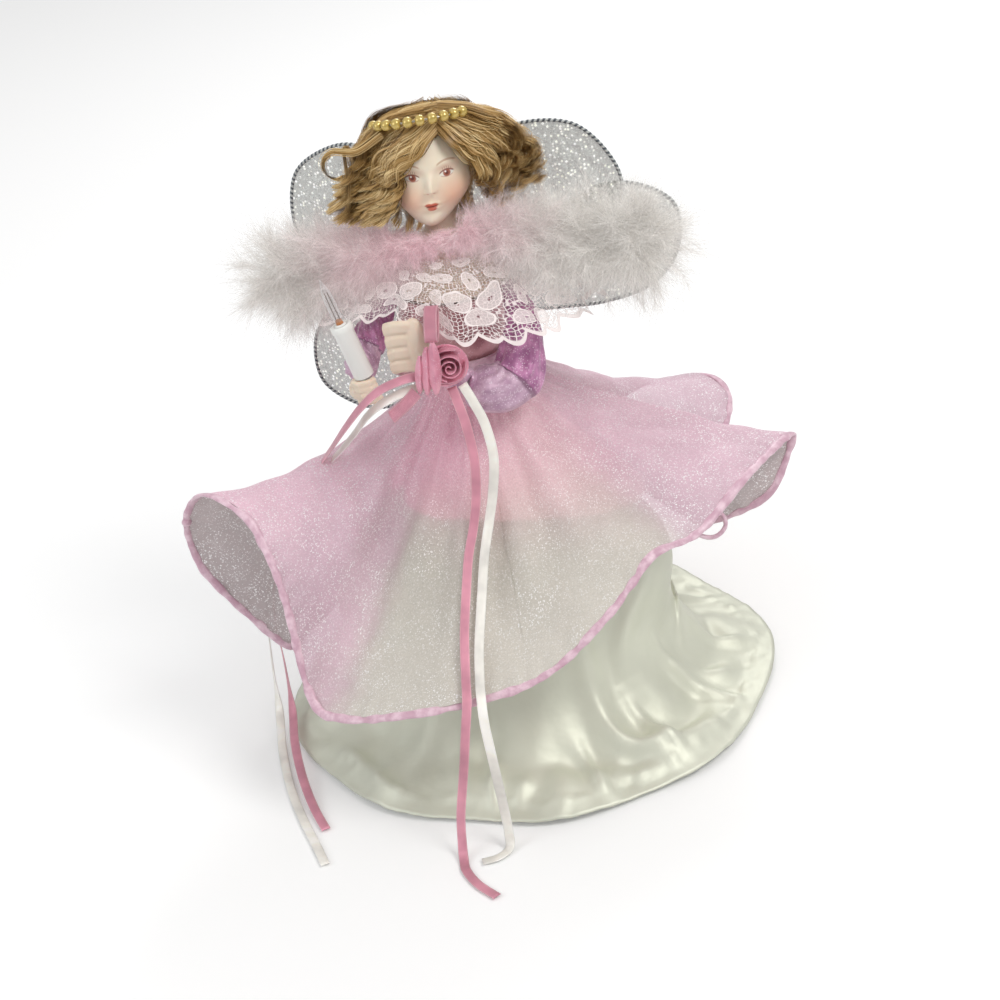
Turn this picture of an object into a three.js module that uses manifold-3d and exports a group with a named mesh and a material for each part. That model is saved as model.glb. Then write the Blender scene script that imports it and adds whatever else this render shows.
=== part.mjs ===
import * as THREE from 'three';
import Module from 'manifold-3d';

const kernel = await Module();
kernel.setup();

// Millimetres. The figure faces -Y and stands on z = 0; the cone's axis is the Z axis.
const gap = 0.3;
const softGap = 0.6;

// Card cone that slips over the tip of a tree.
const coneHeight = 160;
const coneBaseRadius = 46;
const coneTopRadius = 13;
const coneWall = 1.4;

// Torso block: plug in the cone, then waist, chest and shoulder, as radius and height above the cone.
const plugDepth = 18;
const waistRadius = 14.5;
const waistRise = 12;
const chestRadius = 19;
const chestRise = 36;
const shoulderRadius = 22;
const shoulderRise = 48;
const shoulderDrop = 19;
const bodiceThick = 1;
const bodiceHeight = 31;
const plateThick = 2;
const plateSkirt = 1.5;

// Head, turned towards the viewer's right of the figure's front.
const neckRadius = 7;
const neckLength = 16;
const headWidth = 34;
const headDepth = 41;
const headHeight = 44;
const headForward = 4;
const headTurn = THREE.MathUtils.degToRad(16);

// Wig: a cap and a rim of curls.
const wigHalfWidth = 42;
const wigHalfDepth = 22;
const wigHalfHeight = 29;
const curlRadius = 11;
const curlCount = 6;

// Halo: beads on a wire ring, tilted back.
const haloRadius = 21;
const haloWireRadius = 0.45;
const haloTilt = THREE.MathUtils.degToRad(17);
const beadRadius = 2.1;
const beadLength = 3.4;
const beadCount = 11;
const beadPitch = THREE.MathUtils.degToRad(15.5);

// Feather boa: a ring round the neck and a puff on each shoulder.
const boaPuffReach = 67;
const boaPuffRadius = 25;
const boaPuffDrop = 18;
const boaCollarRadius = 19;
const boaCollarTube = 8;

// Lace collar.
const laceTopWidth = 28;
const laceHemWidth = 61;
const laceTopFront = 25;
const laceHemFront = 49;
const laceTopBack = 18;
const laceHemBack = 31;
const laceDrop = 33;
const laceThick = 0.7;
const laceLift = 0.36;

// Arms: wire armature, sleeves and hands.
const armWireRadius = 1;
const armWireEye = 1.6;
const armEyeGap = 0.4;
const wristRadius = 3.2;
const rightSleeveRadii = [4, 9, 11, 10];
const leftSleeveRadii = [4, 9, 12, 12, 9.5];
const cuffRadius = 6.2;
const cuffTopRadius = 5.2;
const cuffEndRadius = 4.8;

// Candle and lamp.
const candleRadius = 4.3;
const candleLength = 24.5;
const candleRim = 0.3;
const candleRimHeight = 3;
const candleStemRadius = 2.5;
const candleStemLength = 5;
const lampBoreDepth = 14;
const lampBaseRadius = 2.6;
const lampFlange = 0.7;
const lampFlangeHeight = 1.6;
const lampGlassRadius = 2.5;
const lampGlassLength = 19;
const lampGlassWall = 0.5;

// Wings: film lobes in wire rims on a stem at each side of the yoke.
// The left wing sits lower than the right one.
const yokeWidth = 14;
const yokeHeight = 24;
const yokeThick = 7;
const stemRadius = 1.2;
const stemLength = 13;
const lobeSpacing = 6.2;
const leftWingDrop = 8;
const upperLobeLength = 87;
const upperLobeWidth = 65;
const lowerLobeLength = 91;
const lowerLobeWidth = 52;
const lobeRimRadius = 0.8;
const lobeFilmThick = 0.4;
const lobeStep = 2;

// Skirts. The dress is turned against the figure.
const dressTurn = THREE.MathUtils.degToRad(18);
const clothThick = 1;
const sheerThick = 0.8;
const skirtHemRadius = 110;
const skirtHemSwing = 3.5;
const skirtFolds = 8;
const skirtTopRadius = coneTopRadius + 2;
const layerStep = 1.2;
const waistLevel = coneHeight + 8;
const skirtFloorLevel = 2;
const peplumFlare = 21;
const peplumDrop = 51;
const hemBandWidth = 4.5;
const hemBandThick = 2;
const bandHeight = 4.5;
const bandThick = 1;

// Ribbon rose and ribbons.
const ribbonWidth = 4;
const ribbonThick = 0.5;
const roseRadius = 9.5;
const roseDepth = 7.5;
const roseTurns = 3.2;
const rosePetalThick = 0.9;
const roseBaseThick = 1;
const loopWidth = 6;

const vec = (x, y, z) => new THREE.Vector3(x, y, z);
const turnAbout = (point, angle) => point.clone().applyAxisAngle(vec(0, 0, 1), angle);

function material(name, color, roughness, metalness = 0, opacity = 1) {
  const transparent = opacity < 1;
  const look = new THREE.MeshStandardMaterial({ color, roughness, metalness, opacity, transparent });
  look.name = name;
  return look;
}

const materials = {
  card: material('card', 0xd9cdb8, 0.9),
  padding: material('padding', 0xe8e2d6, 0.95),
  mauveSatin: material('mauve_satin', 0x8a5f8c, 0.5),
  paleMauve: material('pale_mauve', 0xc39ab8, 0.5),
  porcelain: material('porcelain', 0xf0d9c8, 0.45),
  hair: material('hair', 0x9a6a35, 0.6),
  wire: material('wire', 0x9a9a98, 0.35, 1),
  goldBead: material('gold_bead', 0xc79a3c, 0.2),
  feather: material('feather', 0xe6c3c8, 0.9),
  lace: material('lace', 0xe9dfc6, 0.85),
  candle: material('candle', 0xf4f1e6, 0.4),
  lampBase: material('lamp_base', 0xb06a3a, 0.5),
  glass: material('glass', 0xe8f0f0, 0.05, 0, 0.35),
  wingFilm: material('wing_film', 0xc9d2dc, 0.25, 0, 0.6),
  rimCord: material('rim_cord', 0x77787c, 0.5),
  ivorySatin: material('ivory_satin', 0xe6e4d2, 0.45),
  pinkLayer: material('pink_layer', 0xe8b9b0, 0.7),
  sheerPink: material('sheer_pink', 0xe9bcc0, 0.5, 0, 0.75),
  pinkBinding: material('pink_binding', 0xd897a4, 0.45),
  roseRibbon: material('rose_ribbon', 0xb5577a, 0.4),
  creamRibbon: material('cream_ribbon', 0xe8e6c8, 0.4),
};

function piece(name, geometry, look) {
  const mesh = new THREE.Mesh(geometry, look);
  mesh.name = name;
  return mesh;
}

function orientedGeometry(points, triangles) {
  let volume = 0;
  for (const [a, b, c] of triangles) {
    volume += points[a].dot(points[b].clone().cross(points[c]));
  }
  const faces = volume < 0 ? triangles.map(([a, b, c]) => [a, c, b]) : triangles;
  const geometry = new THREE.BufferGeometry();
  const places = points.flatMap((p) => [p.x, p.y, p.z]);
  geometry.setAttribute('position', new THREE.Float32BufferAttribute(places, 3));
  geometry.setIndex(faces.flat());
  geometry.computeVertexNormals();
  return geometry;
}

// Closed rings of points, one after another: joined end to end, or capped at both ends.
function ringSolid(rings, joined) {
  const size = rings[0].length;
  const points = rings.flat();
  const triangles = [];
  const spans = joined ? rings.length : rings.length - 1;
  for (let row = 0; row < spans; row += 1) {
    const next = (row + 1) % rings.length;
    for (let col = 0; col < size; col += 1) {
      const side = (col + 1) % size;
      const [a, b] = [row * size + col, row * size + side];
      const [c, d] = [next * size + side, next * size + col];
      triangles.push([a, b, c], [a, c, d]);
    }
  }
  if (!joined) {
    const last = (rings.length - 1) * size;
    const middle = (ring) => ring.reduce((sum, p) => sum.add(p), vec(0, 0, 0)).divideScalar(size);
    points.push(middle(rings[0]), middle(rings[rings.length - 1]));
    for (let col = 0; col < size; col += 1) {
      const side = (col + 1) % size;
      triangles.push([points.length - 2, side, col], [points.length - 1, last + col, last + side]);
    }
  }
  return orientedGeometry(points, triangles);
}

// A cloth surface that runs once round the figure, given its thickness inwards.
function clothSolid(surface, columns, rows, thickness) {
  const inner = [];
  const outer = [];
  const small = 1e-3;
  for (let row = 0; row < rows; row += 1) {
    const v = row / (rows - 1);
    const outerRing = [];
    const innerRing = [];
    for (let col = 0; col < columns; col += 1) {
      const u = col / columns;
      const point = surface(u, v);
      const along = surface(u + small, v).sub(surface(u - small, v));
      const down = surface(u, Math.min(v + small, 1)).sub(surface(u, Math.max(v - small, 0)));
      const normal = along.cross(down).normalize();
      outerRing.push(point);
      innerRing.push(point.clone().addScaledVector(normal, -thickness));
    }
    outer.push(outerRing);
    inner.unshift(innerRing);
  }
  return ringSolid([...outer, ...inner], true);
}

function tubeRings(points, radius, sides, closed) {
  const curve = new THREE.CatmullRomCurve3(points, closed);
  const steps = points.length;
  const frames = curve.computeFrenetFrames(steps, closed);
  const rings = [];
  for (let step = 0; step < (closed ? steps : steps + 1); step += 1) {
    const centre = curve.getPointAt(step / steps);
    const ring = [];
    for (let side = 0; side < sides; side += 1) {
      const angle = (2 * Math.PI * side) / sides;
      ring.push(centre.clone()
        .addScaledVector(frames.normals[step], radius * Math.cos(angle))
        .addScaledVector(frames.binormals[step], radius * Math.sin(angle)));
    }
    rings.push(ring);
  }
  return rings;
}

const closedTube = (points, radius, sides) => ringSolid(tubeRings(points, radius, sides, true), true);
const openTube = (points, radius, sides) => ringSolid(tubeRings(points, radius, sides, false), false);

function turned(profile, segments) {
  const geometry = new THREE.LatheGeometry(profile.map(([r, z]) => new THREE.Vector2(r, z)), segments);
  return geometry.rotateX(Math.PI / 2);
}

function asSolid(geometry) {
  const position = geometry.getAttribute('position');
  const keys = new Map();
  const points = [];
  const remap = [];
  for (let i = 0; i < position.count; i += 1) {
    const point = vec().fromBufferAttribute(position, i);
    const key = point.toArray().map((value) => Math.round(value * 1e4)).join();
    if (!keys.has(key)) {
      keys.set(key, points.length);
      points.push(point);
    }
    remap.push(keys.get(key));
  }
  const index = geometry.index ? [...geometry.index.array] : remap.map((_, i) => i);
  const triVerts = [];
  for (let i = 0; i < index.length; i += 3) {
    const [a, b, c] = [remap[index[i]], remap[index[i + 1]], remap[index[i + 2]]];
    if (a !== b && b !== c && c !== a) triVerts.push(a, b, c);
  }
  const mesh = new kernel.Mesh({
    numProp: 3,
    vertProperties: new Float32Array(points.flatMap((p) => p.toArray())),
    triVerts: new Uint32Array(triVerts),
  });
  return new kernel.Manifold(mesh);
}

function asGeometry(solid) {
  const mesh = solid.getMesh();
  const geometry = new THREE.BufferGeometry();
  geometry.setAttribute('position', new THREE.BufferAttribute(new Float32Array(mesh.vertProperties), 3));
  geometry.setIndex([...mesh.triVerts]);
  geometry.computeVertexNormals();
  return geometry;
}

const joinAll = (solids) => solids.reduce((sum, solid) => sum.add(solid));

function ellipsoid(centre, radii, segments, rows, turn = 0) {
  const geometry = new THREE.SphereGeometry(1, segments, rows).rotateX(Math.PI / 2);
  geometry.scale(radii.x, radii.y, radii.z).rotateZ(turn).translate(centre.x, centre.y, centre.z);
  return asSolid(geometry);
}

function bar(start, end, startRadius, endRadius, segments) {
  const along = end.clone().sub(start);
  const geometry = new THREE.CylinderGeometry(endRadius, startRadius, along.length(), segments);
  const aim = new THREE.Quaternion().setFromUnitVectors(vec(0, 1, 0), along.clone().normalize());
  geometry.applyQuaternion(aim);
  const middle = start.clone().addScaledVector(along, 0.5);
  return asSolid(geometry.translate(middle.x, middle.y, middle.z));
}

const coneRadius = (z) => coneBaseRadius + ((coneTopRadius - coneBaseRadius) * z) / coneHeight;

// Radius of the torso block against height, above the cone.
const torsoProfile = [
  [coneTopRadius, gap],
  [waistRadius, waistRise],
  [chestRadius, chestRise],
  [shoulderRadius, shoulderRise],
  [shoulderRadius - 3, shoulderRise + 9],
  [shoulderRadius - 10.5, shoulderRise + 16],
  [0, shoulderRise + shoulderDrop],
].map(([r, rise]) => [r, coneHeight + rise]);

function torsoRadius(z) {
  const upper = torsoProfile.findIndex(([, level]) => level >= z);
  const [[r0, z0], [r1, z1]] = [torsoProfile[upper - 1], torsoProfile[upper]];
  return r0 + ((r1 - r0) * (z - z0)) / (z1 - z0);
}

function coneCore() {
  const profile = [
    [coneBaseRadius - coneWall, 0],
    [coneBaseRadius, 0],
    [coneTopRadius, coneHeight],
    [coneTopRadius - coneWall, coneHeight],
    [coneBaseRadius - coneWall, 0],
  ];
  return piece('cone_core', turned(profile, 32), materials.card);
}

function torso() {
  const plug = (z) => coneRadius(z) - coneWall - gap;
  const bottom = coneHeight - plugDepth;
  const ledge = coneHeight + gap;
  const profile = [[0, bottom], [plug(bottom), bottom], [plug(ledge), ledge], ...torsoProfile];
  return piece('torso', turned(profile, 20), materials.padding);
}

const bodiceBottom = coneHeight + waistRise + 2;

function bodice() {
  const levels = [0, 0.5, 1].map((share) => bodiceBottom + bodiceHeight * share);
  const inside = levels.map((z) => [torsoRadius(z) + gap, z]).reverse();
  const outside = levels.map((z) => [torsoRadius(z) + gap + bodiceThick, z]);
  return piece('bodice', turned([...inside, ...outside, inside[0]], 20), materials.mauveSatin);
}

// Shoulder plate and neck as one turned profile, grown by a margin where others are cut to it.
const plateBottom = coneHeight + shoulderRise - plateSkirt;
const plateRadius = shoulderRadius + gap + plateThick;
const neckLevel = coneHeight + shoulderRise + shoulderDrop + plateThick + gap;
const headCentre = vec(0, -headForward, neckLevel + neckLength + headHeight / 2 - 5);

function bustSolid(margin) {
  const outer = [
    [plateRadius + margin, plateBottom - margin],
    [plateRadius + margin, plateBottom + plateSkirt],
    [plateRadius - 3 + margin, plateBottom + plateSkirt + 10],
    [plateRadius - 10 + margin, neckLevel - 3 + margin],
    [neckRadius + 1.5 + margin, neckLevel + 1 + margin],
    [neckRadius + margin, neckLevel + 6],
    [neckRadius + margin, neckLevel + neckLength],
    [0, neckLevel + neckLength],
  ];
  if (margin > 0) return asSolid(turned([[0, plateBottom - margin], ...outer], 20));
  const under = torsoProfile.slice(3).map(([r, z]) => [r === 0 ? 0 : r + gap, z + gap]).reverse();
  const rim = [shoulderRadius + gap, plateBottom];
  return asSolid(turned([...under, rim, ...outer], 18));
}

function headSolid(margin, segments, rows) {
  const geometry = new THREE.SphereGeometry(1, segments, rows).rotateX(Math.PI / 2);
  const position = geometry.getAttribute('position');
  for (let i = 0; i < position.count; i += 1) {
    const d = vec().fromBufferAttribute(position, i);
    const low = Math.max(-d.z, 0);
    const taper = 1 - 0.3 * low * low;
    const front = Math.max(-d.y, 0);
    const side = Math.abs(d.x);
    const bump = (dx, width, dz, height) => front * Math.exp(-((dx / width) ** 2) - ((dz / height) ** 2));
    const nose = 3.2 * bump(side, 0.16, d.z + 0.12, 0.16);
    const brow = -1.6 * bump(side - 0.42, 0.2, d.z - 0.1, 0.12);
    const cheek = bump(side - 0.5, 0.25, d.z + 0.3, 0.2);
    position.setXYZ(
      i,
      d.x * (headWidth / 2 + margin) * taper,
      d.y * (headDepth / 2 + margin) * taper - 5 * low * low - nose - brow - cheek,
      d.z * (headHeight / 2 + margin),
    );
  }
  geometry.rotateZ(headTurn).translate(headCentre.x, headCentre.y, headCentre.z);
  return asSolid(geometry);
}

function porcelainHead() {
  return piece('porcelain_head', asGeometry(bustSolid(0).add(headSolid(0, 22, 15))), materials.porcelain);
}

// Lace collar: rings of ellipses from the neck to a waved hem, lifted over the left hand.
const laceTop = coneHeight + shoulderRise + shoulderDrop;

function laceSurface(u, v, crest = false) {
  const angle = 2 * Math.PI * u;
  const lift = (middle, spread) => {
    const away = Math.atan2(Math.sin(angle - middle), Math.cos(angle - middle));
    return laceLift * Math.exp(-((away / spread) ** 2));
  };
  const scallop = 0.035 * (crest ? 1 : Math.cos(17 * angle));
  const reach = v * (1 - lift(Math.PI + 0.36, 0.55) - lift(0, 0.9) + scallop);
  const width = laceTopWidth + (laceHemWidth - laceTopWidth) * reach;
  const front = laceTopFront + (laceHemFront - laceTopFront) * reach;
  const back = laceTopBack + (laceHemBack - laceTopBack) * reach;
  const depth = Math.cos(angle) < 0 ? front : back;
  const wave = 1 + 0.04 * reach * (crest ? 1 : Math.cos(13 * angle));
  const level = laceTop - laceDrop * reach ** 1.2;
  return vec(width * wave * Math.sin(angle), depth * wave * Math.cos(angle), level);
}

function laceCollar() {
  return piece('lace_collar', clothSolid(laceSurface, 48, 4, laceThick), materials.lace);
}

// Everything under the lace, closed off well below its hem.
function laceShadow() {
  const rings = [0, 0.5, 1].map((v) => {
    const ring = [];
    for (let col = 0; col < 24; col += 1) {
      const point = laceSurface(col / 24, v, true);
      const out = vec(point.x, point.y, 0).normalize();
      ring.push(point.addScaledVector(out, 2 * softGap).add(vec(0, 0, softGap)));
    }
    return ring;
  });
  const floor = rings[rings.length - 1].map((p) => vec(p.x, p.y, laceTop - 2 * laceDrop));
  return asSolid(ringSolid([...rings, floor], false));
}

const boaLevel = laceTop + 3;

function boaSolid(margin) {
  const parts = [];
  const collar = new THREE.TorusGeometry(boaCollarRadius, boaCollarTube + margin, 7, 16);
  parts.push(asSolid(collar.translate(0, -5, boaLevel)));
  for (const side of [-1, 1]) {
    const puff = vec(side * boaPuffReach, -5, boaLevel - boaPuffDrop);
    const neckEnd = vec(side * boaCollarRadius, -5, boaLevel);
    parts.push(ellipsoid(puff, vec(boaPuffRadius, 22, boaPuffRadius).addScalar(margin), 14, 9));
    parts.push(bar(neckEnd, puff, boaCollarTube + 4 + margin, 21 + margin, 10));
  }
  return joinAll(parts);
}

function featherBoa() {
  const cut = boaSolid(0)
    .subtract(laceShadow())
    .subtract(bustSolid(softGap))
    .subtract(headSolid(softGap, 14, 10));
  return piece('feather_boa', asGeometry(cut), materials.feather);
}

const haloCentre = headCentre.clone().add(vec(0, 0, headHeight / 2 - 1));

function haloPoint(angle, radius = haloRadius) {
  const flat = vec(radius * Math.sin(angle), -radius * Math.cos(angle), 0);
  flat.applyAxisAngle(vec(1, 0, 0), -haloTilt);
  return turnAbout(flat, headTurn).add(haloCentre);
}

function haloLoop(count) {
  return Array.from({ length: count }, (_, i) => haloPoint((2 * Math.PI * i) / count));
}

function wig() {
  const centre = headCentre.clone().add(vec(0, headForward + 2, -6));
  const parts = [ellipsoid(centre, vec(wigHalfWidth, wigHalfDepth, wigHalfHeight), 16, 10)];
  for (const side of [-1, 1]) {
    for (let i = 0; i < curlCount; i += 1) {
      const angle = THREE.MathUtils.degToRad(-48 + (118 * i) / (curlCount - 1));
      const swell = curlRadius * (1 - 0.25 * (i % 2));
      const across = side * Math.cos(angle) * wigHalfWidth * 0.92;
      const curl = centre.clone().add(vec(across, -2 + 4 * (i % 3), Math.sin(angle) * wigHalfHeight * 0.78));
      parts.push(ellipsoid(curl, vec(swell, swell * 1.2, swell), 6, 4));
    }
  }
  const face = headCentre.clone().add(turnAbout(vec(0, -headDepth * 0.62, -4), headTurn));
  const opening = ellipsoid(face, vec(headWidth * 0.52, headDepth * 0.6, headHeight * 0.56), 12, 9, headTurn);
  const channel = asSolid(closedTube(haloLoop(18), haloWireRadius + softGap + 0.3, 5));
  const beadArc = (beadCount / 2) * beadPitch;
  const beadTrack = Array.from({ length: 9 }, (_, i) => haloPoint(beadArc * (i / 4 - 1)));
  const beadChannel = asSolid(openTube(beadTrack, beadRadius + softGap, 6));
  const cut = joinAll(parts)
    .subtract(headSolid(2 * softGap, 14, 10))
    .subtract(opening)
    .subtract(bustSolid(softGap))
    .subtract(boaSolid(softGap))
    .subtract(laceShadow())
    .subtract(channel)
    .subtract(beadChannel);
  const bodies = cut.decompose().sort((a, b) => b.volume() - a.volume());
  return piece('wig', asGeometry(bodies[0]), materials.hair);
}

function halo() {
  const group = new THREE.Group();
  group.add(piece('halo_wire', closedTube(haloLoop(26), haloWireRadius, 4), materials.wire));
  const bore = haloWireRadius + gap;
  const half = beadLength / 2;
  const profile = [
    [bore, -half],
    [beadRadius * 0.8, -half],
    [beadRadius, 0],
    [beadRadius * 0.8, half],
    [bore, half],
    [bore, -half],
  ];
  for (let i = 0; i < beadCount; i += 1) {
    const angle = (i - (beadCount - 1) / 2) * beadPitch;
    const bead = piece(`halo_bead_${String(i + 1).padStart(2, '0')}`, turned(profile, 8), materials.goldBead);
    const along = haloPoint(angle + 0.01).sub(haloPoint(angle - 0.01)).normalize();
    bead.quaternion.setFromUnitVectors(vec(0, 0, 1), along);
    bead.position.copy(haloPoint(angle));
    group.add(bead);
  }
  return group;
}

// Arm routes, from the shoulder through the elbow to the wrist.
const eyeReach = plateRadius + armEyeGap + armWireEye;
const shoulderPivot = (side) => vec(side * Math.sqrt(eyeReach ** 2 - 36), -6, plateBottom + 0.5);
const shoulderLevel = coneHeight + shoulderRise;
const below = (x, y, drop) => vec(x, y, shoulderLevel - drop);
const rightRoute = [shoulderPivot(-1), below(-34, -14, 14), below(-38, -26, 23), below(-36, -36, 26)];
const leftRoute = [
  shoulderPivot(1), below(30, -15, 18), below(27, -27, 35), below(18, -34, 36), below(9, -39.5, 29),
];
const rightWrist = rightRoute[rightRoute.length - 1];
const leftWrist = leftRoute[leftRoute.length - 1];
const rightPalm = rightWrist.clone().add(vec(2, -10, -1));
const leftPalm = leftWrist.clone().add(vec(-16, -3.5, 16));

function armWire(name, route) {
  const rod = asSolid(openTube(route, armWireRadius, 6));
  const eye = ellipsoid(route[0], vec(armWireEye, armWireEye, armWireEye), 8, 6);
  return piece(name, asGeometry(rod.add(eye)), materials.wire);
}

function sleeveSolid(route, radii) {
  const parts = [];
  for (let i = 0; i + 1 < route.length; i += 1) {
    parts.push(bar(route[i], route[i + 1], radii[i], radii[i + 1], 9));
    const joint = vec(radii[i], radii[i], radii[i]);
    if (i > 0) parts.push(ellipsoid(route[i], joint, 7, 5));
  }
  return joinAll(parts);
}

// Hollow at the cuff, as deep as the given share of the last span.
function cuffHollow(route, radius, share) {
  const end = route[route.length - 1];
  const back = end.clone().sub(route[route.length - 2]);
  const mouth = end.clone().addScaledVector(back, 0.1);
  return bar(end.clone().addScaledVector(back, -share), mouth, radius * 0.6, radius, 10);
}

function sleeve(name, route, radii) {
  const start = route[0].clone().lerp(route[1], 0.3);
  const cut = sleeveSolid([start, ...route.slice(1)], radii)
    .subtract(asSolid(openTube(route, armWireRadius + 2 * gap, 5)))
    .subtract(cuffHollow(route, radii[radii.length - 1] - 1.2, 0.75));
  return piece(name, asGeometry(cut), materials.mauveSatin);
}

// Candle frame: its foot stands in the right hand and it leans outwards.
const candleFoot = rightPalm.clone().add(vec(3.5, -2, 6.5));
const candleLean = THREE.MathUtils.degToRad(-13);

function candleGroup(meshes) {
  const group = new THREE.Group();
  group.add(...meshes);
  group.position.copy(candleFoot);
  group.rotation.y = candleLean;
  return group;
}

function candle() {
  const bore = lampBaseRadius + gap;
  const top = candleLength;
  const profile = [
    [0, -candleStemLength],
    [candleStemRadius, -candleStemLength],
    [candleStemRadius, 0],
    [candleRadius, 0],
    [candleRadius, top - candleRimHeight],
    [candleRadius + candleRim, top - candleRimHeight],
    [candleRadius + candleRim, top],
    [bore, top],
    [bore, top - lampBoreDepth],
    [0, top - lampBoreDepth],
  ];
  return piece('candle', turned(profile, 16), materials.candle);
}

function lamp() {
  const seat = candleLength + gap;
  const flangeTop = seat + lampFlangeHeight;
  const base = [
    [0, candleLength - lampBoreDepth + gap],
    [lampBaseRadius, candleLength - lampBoreDepth + gap],
    [lampBaseRadius, seat],
    [lampBaseRadius + lampFlange, seat],
    [lampBaseRadius + lampFlange, flangeTop],
    [0, flangeTop],
  ];
  const foot = flangeTop + gap;
  const tip = foot + lampGlassLength;
  const inside = lampGlassRadius - lampGlassWall;
  const glass = [
    [0, tip - 2.4],
    [inside * 0.45, tip - 4],
    [inside, tip - 8],
    [inside, foot],
    [lampGlassRadius, foot],
    [lampGlassRadius, tip - 8],
    [lampGlassRadius * 0.62, tip - 3.6],
    [lampGlassRadius * 0.2, tip - 0.8],
    [0, tip],
  ];
  const filament = [
    vec(-0.9, 0, foot),
    vec(-0.9, 0, foot + 6),
    vec(-0.6, 0, foot + 8),
    vec(0.6, 0, foot + 8),
    vec(0.9, 0, foot + 6),
    vec(0.9, 0, foot),
  ];
  return [
    piece('lamp_base', turned(base, 12), materials.lampBase),
    piece('lamp_glass', turned(glass, 12), materials.glass),
    piece('lamp_filament', openTube(filament, 0.22, 5), materials.wire),
  ];
}

function finger(points, radius) {
  return asSolid(openTube(points, radius, 6));
}

function rightHand() {
  const stem = new THREE.CylinderGeometry(1, 1, 1, 14).rotateX(Math.PI / 2);
  const bore = candleStemRadius + gap;
  stem.scale(bore, bore, 2 * candleStemLength + 2 * gap);
  stem.rotateY(candleLean).translate(candleFoot.x, candleFoot.y, candleFoot.z);
  const parts = [ellipsoid(rightPalm, vec(5, 6, 5.2), 10, 7)];
  const heel = rightWrist.clone().lerp(rightPalm, 0.08);
  parts.push(bar(heel, rightPalm, wristRadius, wristRadius + 0.6, 8));
  for (let i = 0; i < 4; i += 1) {
    const rise = -3.5 + 2.7 * i;
    const lean = 0.2 * (1 - rise);
    const bend = [vec(lean - 1, -4.5, rise), vec(lean + 4.5, -6.2, rise), vec(lean + 8, -1.5, rise)];
    parts.push(finger(bend.map((step) => step.add(rightPalm)), 1.7));
  }
  const cut = joinAll(parts).subtract(asSolid(stem)).subtract(candleClear());
  return piece('right_hand', asGeometry(cut), materials.porcelain);
}

// Space of the candle tube itself, kept clear of the fingers.
function candleClear() {
  const tube = new THREE.CylinderGeometry(1, 1, 1, 14).rotateX(Math.PI / 2).translate(0, 0, 0.5);
  tube.scale(candleRadius + gap, candleRadius + gap, candleLength).translate(0, 0, -gap);
  tube.rotateY(candleLean).translate(candleFoot.x, candleFoot.y, candleFoot.z);
  return asSolid(tube);
}

function leftHand() {
  const parts = [ellipsoid(leftPalm, vec(6.5, 3.6, 6.6), 10, 7)];
  const heel = leftWrist.clone().lerp(leftPalm, 0.05);
  parts.push(bar(heel, leftPalm, wristRadius, wristRadius + 0.6, 8));
  for (let i = 0; i < 4; i += 1) {
    const rise = -4.5 + 3 * i;
    const bend = [vec(-2, -1, rise), vec(-8, -2.5, rise + 0.4), vec(-12.5, -1.5, rise - 0.4)];
    parts.push(finger(bend.map((step) => step.add(leftPalm)), 1.8));
  }
  return piece('left_hand', asGeometry(joinAll(parts)), materials.porcelain);
}

// Gathered under-sleeve between the left sleeve and the wrist.
function leftCuff() {
  const inner = leftRoute[leftRoute.length - 2].clone().lerp(leftWrist, 0.72);
  const outer = leftWrist.clone().lerp(leftPalm, 0.45);
  const clear = wristRadius + gap;
  const channel = bar(leftWrist.clone().lerp(leftPalm, -0.1), leftPalm, clear, clear + 0.6, 10);
  const cut = bar(inner, leftWrist, cuffTopRadius, cuffRadius, 10)
    .add(bar(leftWrist, outer, cuffRadius, cuffEndRadius, 10))
    .subtract(channel)
    .subtract(asSolid(openTube(leftRoute, armWireRadius + 2 * gap, 5)));
  return piece('left_cuff', asGeometry(cut), materials.paleMauve);
}

// Outline of a wing lobe in its own plane, root at the origin.
function lobeOutline(length, width, count) {
  const half = [[0.07, 0.05], [0.22, 0.2], [0.45, 0.41], [0.68, 0.5], [0.88, 0.37]];
  const points = [
    vec(0, 0, 0),
    ...half.map(([s, t]) => vec(s * length, t * width, 0)),
    vec(length, 0, 0),
    ...half.map(([s, t]) => vec(s * length, -t * width, 0)).reverse(),
  ];
  return new THREE.CatmullRomCurve3(points, true).getSpacedPoints(count).slice(0, count);
}

function insetLoop(points, distance) {
  return points.map((point, i) => {
    const before = points[(i + points.length - 1) % points.length];
    const after = points[(i + 1) % points.length];
    const along = after.clone().sub(before).normalize();
    return point.clone().addScaledVector(vec(along.y, -along.x, 0), distance);
  });
}

function wingLobe(name, length, width, back, rootGap) {
  const group = new THREE.Group();
  const root = Math.sqrt((stemRadius + lobeRimRadius + rootGap) ** 2 - back ** 2);
  const outline = lobeOutline(length, width, 30).map((p) => p.add(vec(root, 0, 0)));
  const inset = insetLoop(outline, lobeRimRadius + gap);
  const shape = new THREE.Shape(inset.map((p) => new THREE.Vector2(p.x, p.y)));
  const film = new THREE.ExtrudeGeometry(shape, { depth: lobeFilmThick, bevelEnabled: false });
  group.add(piece(`${name}_film`, film.translate(0, 0, -lobeFilmThick / 2), materials.wingFilm));
  group.add(piece(`${name}_rim`, closedTube(outline, lobeRimRadius, 4), materials.rimCord));
  return group;
}

const yokeLevel = bodiceBottom + 10;
const yokeBack = torsoRadius(yokeLevel + yokeHeight / 2) + bodiceThick + 2 * gap + yokeThick;

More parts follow.
